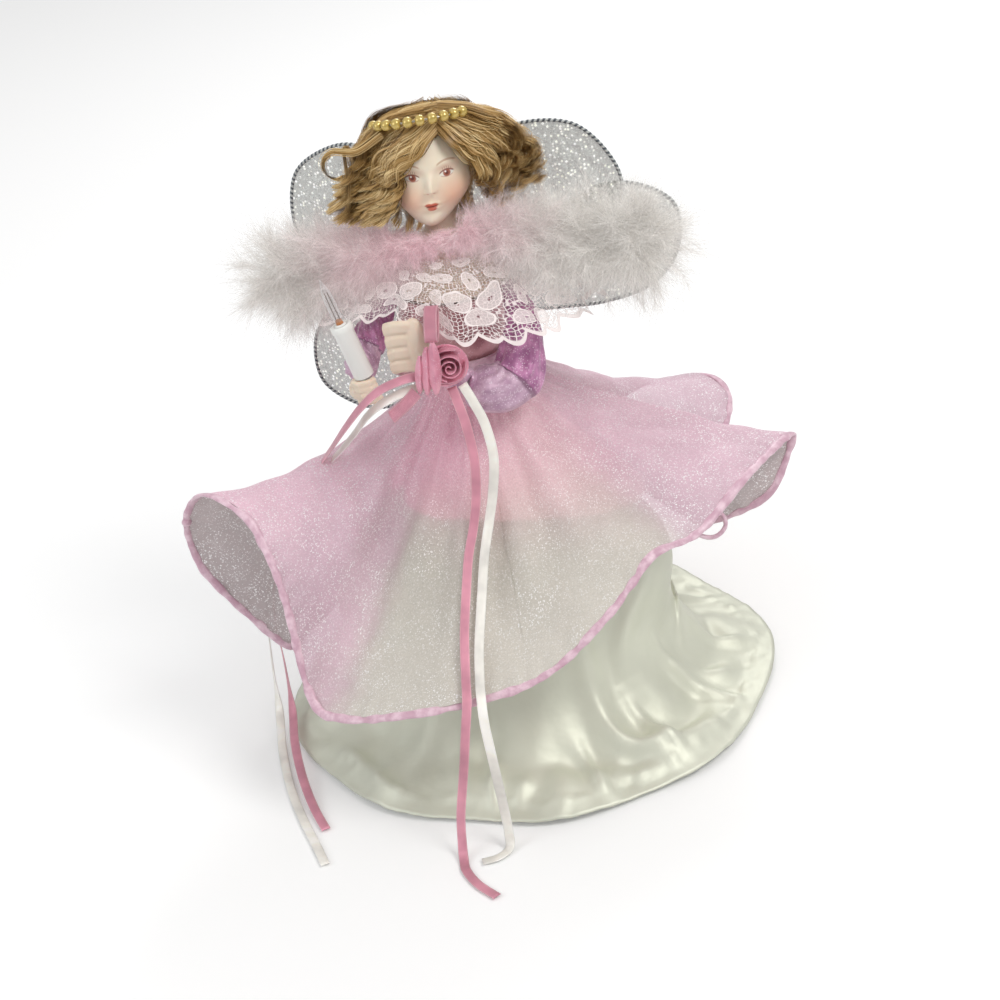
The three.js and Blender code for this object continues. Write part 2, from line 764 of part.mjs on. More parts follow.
// The angles are in degrees: the sweep back, and each lobe's rise from level.
function wing(name, side, drop, sweep, upperAngle, lowerAngle) {
  const group = new THREE.Group();
  const stem = new THREE.CylinderGeometry(stemRadius, stemRadius, stemLength, 10).rotateX(Math.PI / 2);
  group.add(piece(`${name}_stem`, stem, materials.rimCord));
  const blade = new THREE.Group();
  blade.rotation.z = side * THREE.MathUtils.degToRad(sweep);
  const lobes = [
    ['upper', upperLobeLength, upperLobeWidth, upperAngle, 0, lobeSpacing / 2, 3.6 * gap],
    ['lower', lowerLobeLength, lowerLobeWidth, lowerAngle, lobeStep, -lobeSpacing / 2, 2.4 * gap],
  ];
  for (const [part, length, width, degrees, back, rise, rootGap] of lobes) {
    const lobe = wingLobe(`${name}_${part}`, length, width, back, rootGap);
    const angle = THREE.MathUtils.degToRad(degrees);
    const tilt = new THREE.Group();
    lobe.rotation.z = side > 0 ? angle : Math.PI - angle;
    tilt.add(lobe);
    tilt.rotation.x = Math.PI / 2;
    tilt.position.set(0, back, rise);
    blade.add(tilt);
  }
  group.add(blade);
  group.position.set(side * (yokeWidth / 2 - stemRadius), yokeBack + stemRadius + gap, yokeLevel - drop);
  return group;
}

function wingYoke() {
  const plate = new THREE.BoxGeometry(yokeWidth, yokeThick, yokeHeight);
  return piece('wing_yoke', plate.translate(0, yokeBack - yokeThick / 2, yokeLevel), materials.card);
}

// Underskirt: steep down to a break, then spread over the floor in folds.
// Each pair is a height, as a share of the cone's, and the flare from the cone there.
const skirtFlares = [[0.94, 2.4], [0.74, 3.2], [0.53, 5], [0.31, 7.7], [0.17, 12.6], [0.08, 22.6]];
const skirtProfile = new THREE.CatmullRomCurve3([
  [skirtTopRadius, waistLevel - 2],
  ...skirtFlares.map(([share, flare]) => [coneRadius(share * coneHeight) + flare, share * coneHeight]),
  [skirtHemRadius - 26, skirtFloorLevel + 5],
  [skirtHemRadius, skirtFloorLevel],
].map(([r, z]) => vec(r, 0, z)));

function underskirtSurface(u, v) {
  const angle = 2 * Math.PI * u;
  const { x: radius, z: level } = skirtProfile.getPointAt(v);
  const spread = THREE.MathUtils.smoothstep(v, 0.35, 0.85);
  const fold = Math.cos(skirtFolds * angle + 0.8 * Math.sin(2 * angle));
  const swing = skirtHemSwing * Math.cos(2 * (angle + 0.87)) * spread;
  const rise = spread * (1 - 0.7 * THREE.MathUtils.smoothstep(v, 0.8, 1)) * 3.6 * (fold + 1);
  const reach = radius + swing + 1.6 * spread * fold;
  return vec(-reach * Math.sin(angle), -reach * Math.cos(angle), level + rise);
}

function underskirt() {
  return piece('underskirt', clothSolid(underskirtSurface, 64, 8, clothThick), materials.ivorySatin);
}

function peplumSurface(u, v) {
  const angle = 2 * Math.PI * u;
  const top = skirtTopRadius + layerStep;
  const wave = 1.4 * v * Math.cos(11 * angle);
  const hemRadius = coneRadius(waistLevel - peplumDrop) + peplumFlare;
  const radius = top + (hemRadius - top) * v ** 1.5 + wave;
  const level = waistLevel - peplumDrop * v;
  return vec(-radius * Math.sin(angle), -radius * Math.cos(angle), level);
}

function peplum() {
  return piece('peplum', clothSolid(peplumSurface, 40, 4, sheerThick), materials.pinkLayer);
}

// Hem of the sheer overskirt as X, Y and drop below the waist: front, figure's right, back, figure's left.
const overskirtHem = [
  [3, -104, 99], [-14, -106, 101], [-35, -105, 103], [-56, -98, 107], [-77, -85, 112], [-89, -72, 109],
  [-92, -55, 68], [-98, -40, 42], [-107, -30, 33], [-120, -15, 33], [-131, -6, 49], [-131, -4, 70],
  [-124, -8, 84], [-112, -16, 98], [-98, -24, 110], [-88, -12, 106], [-92, 20, 94], [-96, 48, 82],
  [-84, 76, 84], [-56, 94, 96], [-22, 100, 102], [16, 100, 100], [52, 96, 88], [84, 88, 74],
  [110, 74, 67], [118, 60, 76], [104, 34, 90], [90, 8, 98], [88, -12, 94], [104, -19, 89],
  [122, -19, 80], [134, -14, 58], [120, -32, 55], [104, -48, 58], [82, -64, 68], [62, -77, 66],
  [50, -86, 73], [36, -95, 82], [18, -101, 93],
].map(([x, y, drop]) => vec(x, y, waistLevel - drop));
const wrap = (u) => ((u % 1) + 1) % 1;
const overskirtTop = waistLevel + 3;

function drapeSurface(curve, u, v) {
  const hem = curve.getPointAt(wrap(u));
  const angle = 2 * Math.PI * u;
  const top = skirtTopRadius + 2 * layerStep;
  const waist = vec(-top * Math.sin(angle), -top * Math.cos(angle), overskirtTop);
  const sag = 3 + 0.1 * Math.max(waistLevel - 38 - hem.z, 0);
  const upper = waist.clone().lerp(hem, 0.28).add(vec(0, 0, -1.3 * sag));
  const lower = waist.clone().lerp(hem, 0.68).add(vec(0, 0, -1.1 * sag));
  const w = 1 - v;
  return waist.multiplyScalar(w ** 3)
    .addScaledVector(upper, 3 * w * w * v)
    .addScaledVector(lower, 3 * w * v * v)
    .addScaledVector(hem, v ** 3);
}

// Frame of the hem: the edge, the way along it and the way out of the cloth.
function hemFrame(curve, u) {
  const small = 1e-3;
  const edge = drapeSurface(curve, u, 1);
  const along = drapeSurface(curve, u + small, 1).sub(drapeSurface(curve, u - small, 1)).normalize();
  const out = edge.clone().sub(drapeSurface(curve, u, 0.96));
  out.addScaledVector(along, -out.dot(along)).normalize();
  return { edge, along, out };
}

const overskirtColumns = 76;
const hemSteps = Array.from({ length: overskirtColumns }, (_, col) => col / overskirtColumns);

// The hem is moved so that its binding reaches equally far on opposite sides of the cone.
const looseHem = new THREE.CatmullRomCurve3(overskirtHem, true);
const hemReach = new THREE.Box3().setFromPoints(hemSteps.map((u) => {
  const { edge, out } = hemFrame(looseHem, u);
  return turnAbout(edge.addScaledVector(out, hemBandWidth + gap), dressTurn);
}));
const hemMiddle = hemReach.getCenter(vec(0, 0, 0)).setZ(0);
const hemShift = turnAbout(hemMiddle.negate(), -dressTurn);
const hemCurve = new THREE.CatmullRomCurve3(overskirtHem.map((p) => p.clone().add(hemShift)), true);
const overskirtSurface = (u, v) => drapeSurface(hemCurve, u, v);

function overskirt() {
  const cloth = clothSolid(overskirtSurface, overskirtColumns, 6, sheerThick);
  return piece('overskirt', cloth, materials.sheerPink);
}

// Bound edge, just beyond the overskirt's hem.
function overskirtBinding() {
  const rings = hemSteps.map((u) => {
    const { edge, along, out } = hemFrame(hemCurve, u);
    const normal = along.clone().cross(out).normalize();
    const centre = edge.addScaledVector(out, hemBandWidth / 2 + gap).addScaledVector(normal, -sheerThick / 2);
    return [0, 1, 2, 3].map((side) => {
      const angle = (Math.PI * side) / 2;
      return centre.clone()
        .addScaledVector(out, (hemBandWidth / 2) * Math.cos(angle))
        .addScaledVector(normal, (hemBandThick / 2) * Math.sin(angle));
    });
  });
  return piece('overskirt_binding', ringSolid(rings, true), materials.pinkBinding);
}

function waistband() {
  const bottom = overskirtTop + gap;
  const inner = torsoRadius(bottom + bandHeight) + bodiceThick + 2 * gap;
  const outer = skirtTopRadius + 2 * layerStep + bandThick;
  const profile = [
    [inner, bottom],
    [outer, bottom],
    [outer, bottom + bandHeight],
    [inner, bottom + bandHeight],
    [inner, bottom],
  ];
  return piece('waistband', turned(profile, 28), materials.pinkBinding);
}

// Flat ribbon along a route; its face looks up near the floor and outwards and up above it.
function ribbonSolid(route, width) {
  const curve = new THREE.CatmullRomCurve3(route.map(([x, y, z]) => vec(x, y, z)), false, 'centripetal');
  const steps = Math.round(1.5 * route.length);
  const rings = [];
  for (let step = 0; step <= steps; step += 1) {
    const centre = curve.getPointAt(step / steps);
    const along = curve.getTangentAt(step / steps);
    const lift = THREE.MathUtils.smoothstep(centre.z, 4, 20);
    const face = vec(centre.x, centre.y, 0).normalize().multiplyScalar(lift).add(vec(0, 0, 1));
    const across = along.clone().cross(face).normalize();
    const normal = across.clone().cross(along).normalize();
    rings.push([[-1, -1], [1, -1], [1, 1], [-1, 1]].map(([a, b]) => centre.clone()
      .addScaledVector(across, (a * width) / 2)
      .addScaledVector(normal, (b * ribbonThick) / 2)));
  }
  return ringSolid(rings, false);
}

const frontRoseRoute = [
  [-9.5, -50.5, 182.1], [-8, -53, 175], [-6.5, -55, 165], [-6, -55.5, 150], [-8, -56.5, 134],
  [-11.5, -59, 121], [-16, -65.5, 110.5], [-20, -76, 98.5], [-23.5, -87, 87], [-26, -99, 75.5],
  [-27.5, -109, 68.5], [-30, -115, 60], [-34, -117, 42], [-39, -117, 20], [-41, -119, 6],
  [-41.5, -124, 1.4], [-41, -131, 1.2], [-37, -141, 1.2], [-30, -151, 1.2],
];
const frontCreamRoute = [
  [-5, -50.5, 182.5], [-2, -53, 175], [1, -55, 165], [2, -56, 150], [-1, -57, 134],
  [-5, -59.5, 121.5], [-9.5, -66.5, 110], [-13.5, -77, 98], [-18, -90, 84.5], [-20.5, -101, 74.5],
  [-21.5, -109, 68.5], [-22, -115, 60], [-21.5, -118, 42], [-21, -118, 20], [-21, -119, 7],
  [-22, -122, 1.6], [-27, -126, 1.2], [-34, -127, 1.2],
];
const sideRoseRoute = [
  [-19.8, -50.2, 189], [-27, -51.5, 190], [-38, -52, 187.5], [-47, -47.5, 180], [-57, -38, 168],
  [-66, -28, 158], [-76, -17, 151], [-86, -6, 147], [-95, 4, 138], [-102, 11, 120],
  [-107, 14, 95], [-109, 13, 62],
  [-110, 8, 30], [-110.5, -2, 11], [-110.5, -24, 7], [-108, -48, 5], [-104, -68, 2.4], [-99, -85, 1.2],
];
const sideCreamRoute = [
  [-16.8, -50.2, 183.9], [-26, -51, 184.5], [-37, -50, 181], [-45.5, -44.5, 173.5], [-54, -34, 162.5],
  [-62.5, -23.5, 154], [-71, -13, 151], [-81, -1.5, 148], [-90, 9, 139], [-99, 17, 120],
  [-106, 21, 95], [-112, 21, 62],
  [-116, 14, 30], [-117, 2, 9], [-117, -22, 2.4], [-114, -50, 1.4], [-109, -74, 1.2], [-104, -93, 1.2],
  [-100, -109, 1.2],
];

function streamers() {
  return [
    piece('streamer_front_rose', ribbonSolid(frontRoseRoute, ribbonWidth), materials.roseRibbon),
    piece('streamer_front_cream', ribbonSolid(frontCreamRoute, ribbonWidth), materials.creamRibbon),
    piece('streamer_side_cream', ribbonSolid(sideCreamRoute, ribbonWidth), materials.creamRibbon),
    piece('streamer_side_rose', ribbonSolid(sideRoseRoute, ribbonWidth), materials.roseRibbon),
  ];
}

// Rose: a coiled ribbon on a disc, with a loose petal, a loop and a short tail beside it.
const rosePlace = leftPalm.clone().add(vec(13, -8.5, -3));

function rose() {
  const group = new THREE.Group();
  const count = 52;
  const coil = (i, thick) => {
    const angle = (2 * Math.PI * roseTurns * i) / count;
    const radius = 1.4 + ((roseRadius - 1.4) * i) / count - thick;
    return new THREE.Vector2(radius * Math.cos(angle), radius * Math.sin(angle));
  };
  const outer = Array.from({ length: count + 1 }, (_, i) => coil(i, 0));
  const inner = Array.from({ length: count + 1 }, (_, i) => coil(count - i, rosePetalThick));
  const spiral = new THREE.Shape([...outer, ...inner]);
  const bloom = new THREE.ExtrudeGeometry(spiral, { depth: roseDepth, bevelEnabled: false });
  group.add(piece('rose_bloom', bloom.rotateX(Math.PI / 2), materials.roseRibbon));
  const disc = new THREE.CylinderGeometry(roseRadius, roseRadius, roseBaseThick, 20);
  group.add(piece('rose_base', disc.translate(0, gap + roseBaseThick / 2, 0), materials.roseRibbon));
  const petal = new THREE.SphereGeometry(1, 12, 8).scale(3.6, 3.2, 7.5);
  group.add(piece('rose_petal', petal.translate(-roseRadius - 2.4, -4.6, -1), materials.roseRibbon));
  group.position.copy(rosePlace);
  group.rotation.z = dressTurn;
  return group;
}

function roseLoop() {
  const count = 20;
  const low = rosePlace.clone().add(vec(-0.5, 0.7, roseRadius + 0.4));
  const high = rosePlace.clone().add(vec(-1, 12.3, 21));
  const axis = high.clone().sub(low);
  const centre = low.clone().addScaledVector(axis, 0.5);
  const flat = vec(0, axis.z, -axis.y).normalize();
  const rings = [];
  for (let i = 0; i < count; i += 1) {
    const angle = (2 * Math.PI * i) / count;
    const at = (thick) => centre.clone()
      .addScaledVector(axis, Math.cos(angle) * (0.5 - thick / axis.length()))
      .addScaledVector(flat, Math.sin(angle) * (2.2 - thick));
    const half = vec(loopWidth / 2, 0, 0);
    rings.push([at(0).sub(half), at(0).add(half), at(ribbonThick).add(half), at(ribbonThick).sub(half)]);
  }
  return piece('rose_loop', ringSolid(rings, true), materials.roseRibbon);
}

function roseTail() {
  const seat = turnAbout(rosePlace, -dressTurn);
  const steps = [[-12.3, -3.8, -9.6], [-16.3, -4.8, -12.7], [-20.3, -5.2, -15.4], [-24.3, -5.2, -18]];
  const route = steps.map(([x, y, z]) => [seat.x + x, seat.y + y, seat.z + z]);
  return piece('rose_tail', ribbonSolid(route, loopWidth), materials.roseRibbon);
}

const figure = new THREE.Group();
figure.add(coneCore(), torso(), bodice(), porcelainHead(), wig(), halo(), featherBoa(), laceCollar());
figure.add(armWire('right_arm_wire', rightRoute), sleeve('right_sleeve', rightRoute, rightSleeveRadii));
figure.add(rightHand());
figure.add(candleGroup([candle(), ...lamp()]));
figure.add(armWire('left_arm_wire', leftRoute), sleeve('left_sleeve', leftRoute, leftSleeveRadii));
figure.add(leftCuff(), leftHand());
figure.add(wingYoke());
figure.add(wing('right_wing', -1, 0, 10, 38, -28));
figure.add(wing('left_wing', 1, leftWingDrop, 12, 59, 26));
figure.add(rose(), roseLoop());

const dress = new THREE.Group();
dress.add(underskirt(), peplum(), overskirt(), overskirtBinding(), waistband(), roseTail(), ...streamers());
dress.rotation.z = dressTurn;

const topper = new THREE.Group();
topper.name = 'angel_tree_topper';
topper.add(figure, dress);

export default topper;
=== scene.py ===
import math

import bmesh
import bpy
import numpy as np
from mathutils import Matrix, Vector


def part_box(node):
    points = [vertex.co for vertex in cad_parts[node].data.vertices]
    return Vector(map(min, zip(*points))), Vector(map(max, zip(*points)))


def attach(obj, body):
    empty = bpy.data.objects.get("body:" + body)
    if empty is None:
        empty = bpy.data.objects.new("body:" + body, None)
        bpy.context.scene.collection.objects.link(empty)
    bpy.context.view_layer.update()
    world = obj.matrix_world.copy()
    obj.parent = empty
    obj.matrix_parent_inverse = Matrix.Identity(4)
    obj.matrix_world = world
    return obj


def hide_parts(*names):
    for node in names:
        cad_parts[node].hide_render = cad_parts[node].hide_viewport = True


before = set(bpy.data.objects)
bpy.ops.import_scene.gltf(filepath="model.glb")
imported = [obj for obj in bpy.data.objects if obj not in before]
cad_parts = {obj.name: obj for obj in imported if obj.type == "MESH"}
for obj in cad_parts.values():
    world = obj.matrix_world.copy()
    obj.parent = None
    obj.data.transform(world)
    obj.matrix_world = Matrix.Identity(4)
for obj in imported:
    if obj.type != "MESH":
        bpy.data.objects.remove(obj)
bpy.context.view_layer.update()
scene = bpy.context.scene
scene.view_settings.view_transform = "Standard"
mm = 0.001
dressTurn = 18.0  # degrees about the up axis, dress against figure
headTurn = 16.0
headCentre = (0.0, -4.0, 262.3)
print("stage: frame loaded")


# Shapes, in millimetres until the mesh is made.
def turned(points, degrees):
    points = np.asarray(points, float)
    c, s = math.cos(math.radians(degrees)), math.sin(math.radians(degrees))
    x, y, z = points[..., 0], points[..., 1], points[..., 2]
    return np.stack([x * c - y * s, x * s + y * c, z], -1)


def unit(vectors):
    return vectors / np.maximum(np.linalg.norm(vectors, axis=-1, keepdims=True), 1e-9)


def smoothStep(value, low, high):
    t = np.clip((np.asarray(value, float) - low) / (high - low), 0, 1)
    return t * t * (3 - 2 * t)


def hill(value, middle, spread):
    return np.exp(-(((value - middle) / spread) ** 2))


def ringPoints(radius, angle, level):
    return np.stack([-radius * np.sin(angle), -radius * np.cos(angle), level], -1)


def turnGap(angle, middle):
    return np.arctan2(np.sin(angle - middle), np.cos(angle - middle))


def smoothCurve(points, count, closed=False):
    knots = np.asarray(points, float)
    if closed:
        run = np.vstack([knots[-1:], knots, knots[:2]])
    else:
        run = np.vstack([2 * knots[:1] - knots[1:2], knots, 2 * knots[-1:] - knots[-2:-1]])
    t = np.linspace(0, 1, 24, endpoint=False)[:, None]
    spans = []
    for a, b, c, d in zip(run, run[1:], run[2:], run[3:]):
        bend = (2 * a - 5 * b + 4 * c - d) * t**2 + (3 * b - a - 3 * c + d) * t**3
        spans.append(0.5 * (2 * b + (c - a) * t + bend))
    line = np.vstack([*spans, run[-2:-1]])
    far = np.concatenate([[0], np.cumsum(np.linalg.norm(np.diff(line, axis=0), axis=1))])
    at = np.linspace(0, far[-1], count)
    return np.stack([np.interp(at, far, line[:, k]) for k in range(line.shape[1])], -1)


def along(line, share):
    at = np.linspace(0, 1, len(line))
    return np.stack([np.interp(share, at, line[:, k]) for k in range(line.shape[1])], -1)


def ripples(points, seed, length, waves=7):
    rng = np.random.default_rng(seed)
    total = 0
    for _ in range(waves):
        way = unit(rng.normal(size=points.shape[-1]))
        pitch = 2 * math.pi / length * rng.uniform(0.7, 1.5)
        total = total + np.sin(points @ way * pitch + rng.uniform(0, 6.3))
    return total / math.sqrt(waves / 2)


def clothMesh(columns, rows, surface, closed=False, turn=0.0, flip=False):
    bm = bmesh.new()
    bm.loops.layers.uv.new("UVMap")
    bmesh.ops.create_grid(bm, x_segments=columns, y_segments=rows, size=0.5, calc_uvs=True)
    grid = np.array([vert.co[:2] for vert in bm.verts]) + 0.5
    for vert, place in zip(bm.verts, turned(surface(grid[:, 0], grid[:, 1]), turn) * mm):
        vert.co = place
    if closed:
        bmesh.ops.remove_doubles(bm, verts=bm.verts, dist=2e-6)
    if flip:
        bmesh.ops.reverse_faces(bm, faces=bm.faces)
    return bm


def tubeMesh(columns, rows, line, radius, closed=False):
    line = np.asarray(line, float)
    run = np.vstack([line[-2:-1], line, line[1:2]]) if closed else line
    way = unit(np.gradient(run, axis=0)[1:-1] if closed else np.gradient(run, axis=0))
    guide = unit(np.cross(way, [0.13, 0.21, 0.97]))
    other = np.cross(way, guide)

    def surface(u, v):
        angle = 2 * math.pi * v
        reach = radius(u, v) if callable(radius) else radius
        ringed = np.cos(angle)[:, None] * along(guide, u) + np.sin(angle)[:, None] * along(other, u)
        return along(line, u) + ringed * np.broadcast_to(reach, u.shape)[:, None]

    return clothMesh(columns, rows, surface, closed=True, flip=True)


def threadMesh(name, paths, radius, sides=1):
    curve = bpy.data.curves.new(name, "CURVE")
    curve.dimensions = "3D"
    curve.bevel_depth = radius * mm
    curve.bevel_resolution = sides
    curve.use_fill_caps = True
    for path in paths:
        spline = curve.splines.new("POLY")
        spline.points.add(len(path) - 1)
        spline.points.foreach_set("co", np.c_[np.asarray(path) * mm, np.ones(len(path))].ravel())
    holder = bpy.data.objects.new(name, curve)
    scene.collection.objects.link(holder)
    mesh = bpy.data.meshes.new_from_object(holder.evaluated_get(bpy.context.evaluated_depsgraph_get()))
    bpy.data.objects.remove(holder)
    bpy.data.curves.remove(curve)
    return mesh


def strandMesh(name, paths, widths, facing, shades):
    count, steps = paths.shape[:2]
    way = unit(np.gradient(paths, axis=1))
    across = unit(np.cross(way, facing)) * widths[..., None] / 2
    verts = np.stack([paths - across, paths + across], 2).reshape(-1, 3) * mm
    row = (np.arange(count)[:, None] * steps + np.arange(steps - 1)[None, :]).ravel() * 2
    loops = np.stack([row, row + 1, row + 3, row + 2], 1).ravel()
    mesh = bpy.data.meshes.new(name)
    mesh.vertices.add(len(verts))
    mesh.vertices.foreach_set("co", verts.ravel())
    mesh.loops.add(len(loops))
    mesh.loops.foreach_set("vertex_index", loops)
    mesh.polygons.add(len(row))
    mesh.polygons.foreach_set("loop_start", np.arange(len(row)) * 4)
    mesh.update(calc_edges=True)
    shade = mesh.attributes.new("shade", "FLOAT", "POINT")
    shade.data.foreach_set("value", np.repeat(shades.ravel(), 2))
    reach = mesh.attributes.new("reach", "FLOAT", "POINT")
    reach.data.foreach_set("value", np.repeat(np.tile(np.linspace(0, 1, steps), count), 2))
    return mesh


def makePiece(name, made, finish, slotName, *replaced, body="figure", smooth=True, thick=0.0):
    if isinstance(made, bmesh.types.BMesh):
        mesh = bpy.data.meshes.new(name)
        made.to_mesh(mesh)
        made.free()
    else:
        mesh = made
    mesh.name = name
    mesh.materials.clear()
    mesh.materials.append(finish)
    mesh.polygons.foreach_set("use_smooth", np.full(len(mesh.polygons), smooth))
    piece = bpy.data.objects.new(name, mesh)
    scene.collection.objects.link(piece)
    if thick:
        shell = piece.modifiers.new("thickness", "SOLIDIFY")
        shell.thickness = thick * mm
        shell.offset = 0
    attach(piece, body)
    if replaced:
        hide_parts(*replaced)
    return piece


def clothArea(piece):
    return sum(face.area for face in piece.data.polygons)


# Finishes.
def tint(red, green, blue):
    linear = [((c / 255 + 0.055) / 1.055) ** 2.4 for c in (red, green, blue)]
    return (*linear, 1.0)


def plug(value, socket):
    if isinstance(value, bpy.types.NodeSocket):
        socket.id_data.links.new(value, socket)
    else:
        socket.default_value = value


def treeOf(values):
    return next(value.id_data for value in values if isinstance(value, bpy.types.NodeSocket))


def addNode(tree, kind, inputs=(), **settings):
    node = tree.nodes.new("ShaderNode" + kind)
    for key, value in settings.items():
        setattr(node, key, value)
    for key, value in inputs.items() if isinstance(inputs, dict) else enumerate(inputs):
        plug(value, node.inputs[key])
    return node


def calc(operation, *values):
    return addNode(treeOf(values), "Math", values, operation=operation).outputs[0]


def ramp(value, low, high, start=0.0, end=1.0):
    values = (value, low, high, start, end)
    return addNode(treeOf(values), "MapRange", values, interpolation_type="SMOOTHSTEP").outputs[0]


def mixColors(factor, first, second):
    values = {0: factor, 6: first, 7: second}
    return addNode(treeOf(values.values()), "Mix", values, data_type="RGBA").outputs[2]


def vectorCalc(operation, *values):
    node = addNode(treeOf(values), "VectorMath", values, operation=operation)
    return node.outputs["Value" if operation in ("LENGTH", "DOT_PRODUCT") else "Vector"]


def spread(vector, scale):
    return vectorCalc("MULTIPLY", vector, scale)


def noise(vector, scale, detail=3.0, roughness=0.55):
    values = {"Vector": vector, "Scale": scale, "Detail": detail, "Roughness": roughness}
    return addNode(vector.id_data, "TexNoise", values).outputs["Fac"]


def axes(vector):
    return addNode(vector.id_data, "SeparateXYZ", (vector,)).outputs


def clothAxes(tree):
    return axes(addNode(tree, "TexCoord").outputs["UV"])


def shadeBy(color, value):
    return addNode(value.id_data, "HueSaturation", {"Color": color, "Value": value}).outputs[0]


def unturned(vector, degrees):
    values = {"Vector": vector, "Angle": -math.radians(degrees)}
    return addNode(vector.id_data, "VectorRotate", values, rotation_type="Z_AXIS").outputs[0]


def newGroup(name, inputs, outputs):
    tree = bpy.data.node_groups.new(name, "ShaderNodeTree")
    for label, value in inputs.items():
        kind = "NodeSocketVector" if isinstance(value, tuple) else "NodeSocketFloat"
        tree.interface.new_socket(label, in_out="INPUT", socket_type=kind).default_value = value
    for label in outputs:
        tree.interface.new_socket(label, in_out="OUTPUT", socket_type="NodeSocketFloat")
    return tree, tree.nodes.new("NodeGroupInput").outputs, tree.nodes.new("NodeGroupOutput").inputs


def useGroup(group, inputs):
    return addNode(treeOf(inputs.values()), "Group", inputs, node_tree=group).outputs


def newFinish(name, color, roughness, values=None):
    finish = bpy.data.materials.new(name)
    finish.use_nodes = True
    inputs = finish.node_tree.nodes["Principled BSDF"].inputs
    for label, value in {"Base Color": color, "Roughness": roughness, **(values or {})}.items():
        inputs[label].default_value = value
    return finish, finish.node_tree, inputs


def places(tree):
    return addNode(tree, "TexCoord").outputs["Object"]


def clothCoords(tree, across, length):
    flat = addNode(tree, "TexCoord").outputs["UV"]
    return spread(flat, (across, length, 1.0))


def bump(inputs, height, depth, strength=1.0):
    values = {"Strength": strength, "Distance": depth * mm, "Height": height}
    plug(addNode(height.id_data, "Bump", values).outputs["Normal"], inputs["Normal"])


# Flecks: a few of many small cells, each lit by chance.
fleckGroup, source, target = newGroup(
    "glitter flecks", dict(Vector=(0, 0, 0), Scale=900.0, Share=0.2), ["Mask", "Chance"])
cells = addNode(fleckGroup, "TexVoronoi", {"Vector": source["Vector"], "Scale": source["Scale"]})
chance = addNode(fleckGroup, "SeparateColor", (cells.outputs["Color"],)).outputs
lit = calc("LESS_THAN", chance[0], source["Share"])
core = ramp(cells.outputs["Distance"], 0.55, 0.2)
plug(calc("MULTIPLY", lit, core), target["Mask"])
plug(chance[1], target["Chance"])

# Threads: two crossing sets, as a height.
weaveGroup, source, target = newGroup("thread weave", dict(Vector=(0, 0, 0), Pitch=1.0), ["Height"])
parts = axes(source["Vector"])
waves = []
for axis in (0, 1):
    turns = calc("DIVIDE", parts[axis], source["Pitch"])
    waves.append(calc("SINE", calc("MULTIPLY", turns, 2 * math.pi)))
crossed = calc("MULTIPLY", *waves)
plug(calc("MULTIPLY_ADD", crossed, 0.5, 0.5), target["Height"])

# Mottle: soft light and dark patches about one.
mottleGroup, source, target = newGroup(
    "soft mottle", dict(Vector=(0, 0, 0), Scale=60.0, Depth=0.2), ["Value"])
cloud = calc("SUBTRACT", noise(source["Vector"], source["Scale"]), 0.5)
plug(calc("MULTIPLY_ADD", cloud, source["Depth"], 1.0), target["Value"])


def scatter(vector, scale, share):
    return useGroup(fleckGroup, {"Vector": vector, "Scale": scale, "Share": share})


def mottle(vector, scale, depth):
    return useGroup(mottleGroup, {"Vector": vector, "Scale": scale, "Depth": depth})["Value"]


print("stage: shared effects made")

# Camera, fitted to the picture's lean and framing.
cameraPlan = dict(distance=1.0, elevation=27.262, roll=-10.783, lens=82.97, level=0.1425,
                  offset=(0.008635, 0.038184))
lift, roll = math.radians(cameraPlan["elevation"]), math.radians(cameraPlan["roll"])
sideways = Vector((1, 0, 0))
back = Vector((0, -math.cos(lift), math.sin(lift)))
rising = Vector((0, math.sin(lift), math.cos(lift)))
imageRight = math.cos(roll) * sideways + math.sin(roll) * rising
imageUp = -math.sin(roll) * sideways + math.cos(roll) * rising
axis = (back - imageRight * cameraPlan["offset"][0] + imageUp * cameraPlan["offset"][1]).normalized()
imageRight = (imageRight - axis * imageRight.dot(axis)).normalized()
aim = Matrix((imageRight, axis.cross(imageRight), axis)).transposed().to_4x4()
aim.translation = Vector((0, 0, cameraPlan["level"])) + back * cameraPlan["distance"]
camera = bpy.data.objects.new("camera", bpy.data.cameras.new("camera"))
camera.data.lens = cameraPlan["lens"]
camera.data.sensor_width = 36
camera.data.clip_start = 0.05
camera.matrix_world = Matrix.Rotation(math.radians(dressTurn), 4, "Z") @ aim
scene.collection.objects.link(camera)
scene.camera = camera

# Floor, backdrop and lights.
world = bpy.data.worlds.new("studio")
scene.world = world
world.use_nodes = True
tree = world.node_tree
rays = addNode(tree, "LightPath").outputs
seen = calc("MAXIMUM", rays["Is Camera Ray"], rays["Is Transmission Ray"])
sky = axes(addNode(tree, "TexCoord").outputs["Generated"])[2]
soft = ramp(sky, -0.1, 0.9, 0.22, 0.68)
plug(calc("MAXIMUM", seen, soft), tree.nodes["Background"].inputs["Strength"])
tree.nodes["Background"].inputs["Color"].default_value = (1.0, 1.0, 1.0, 1.0)

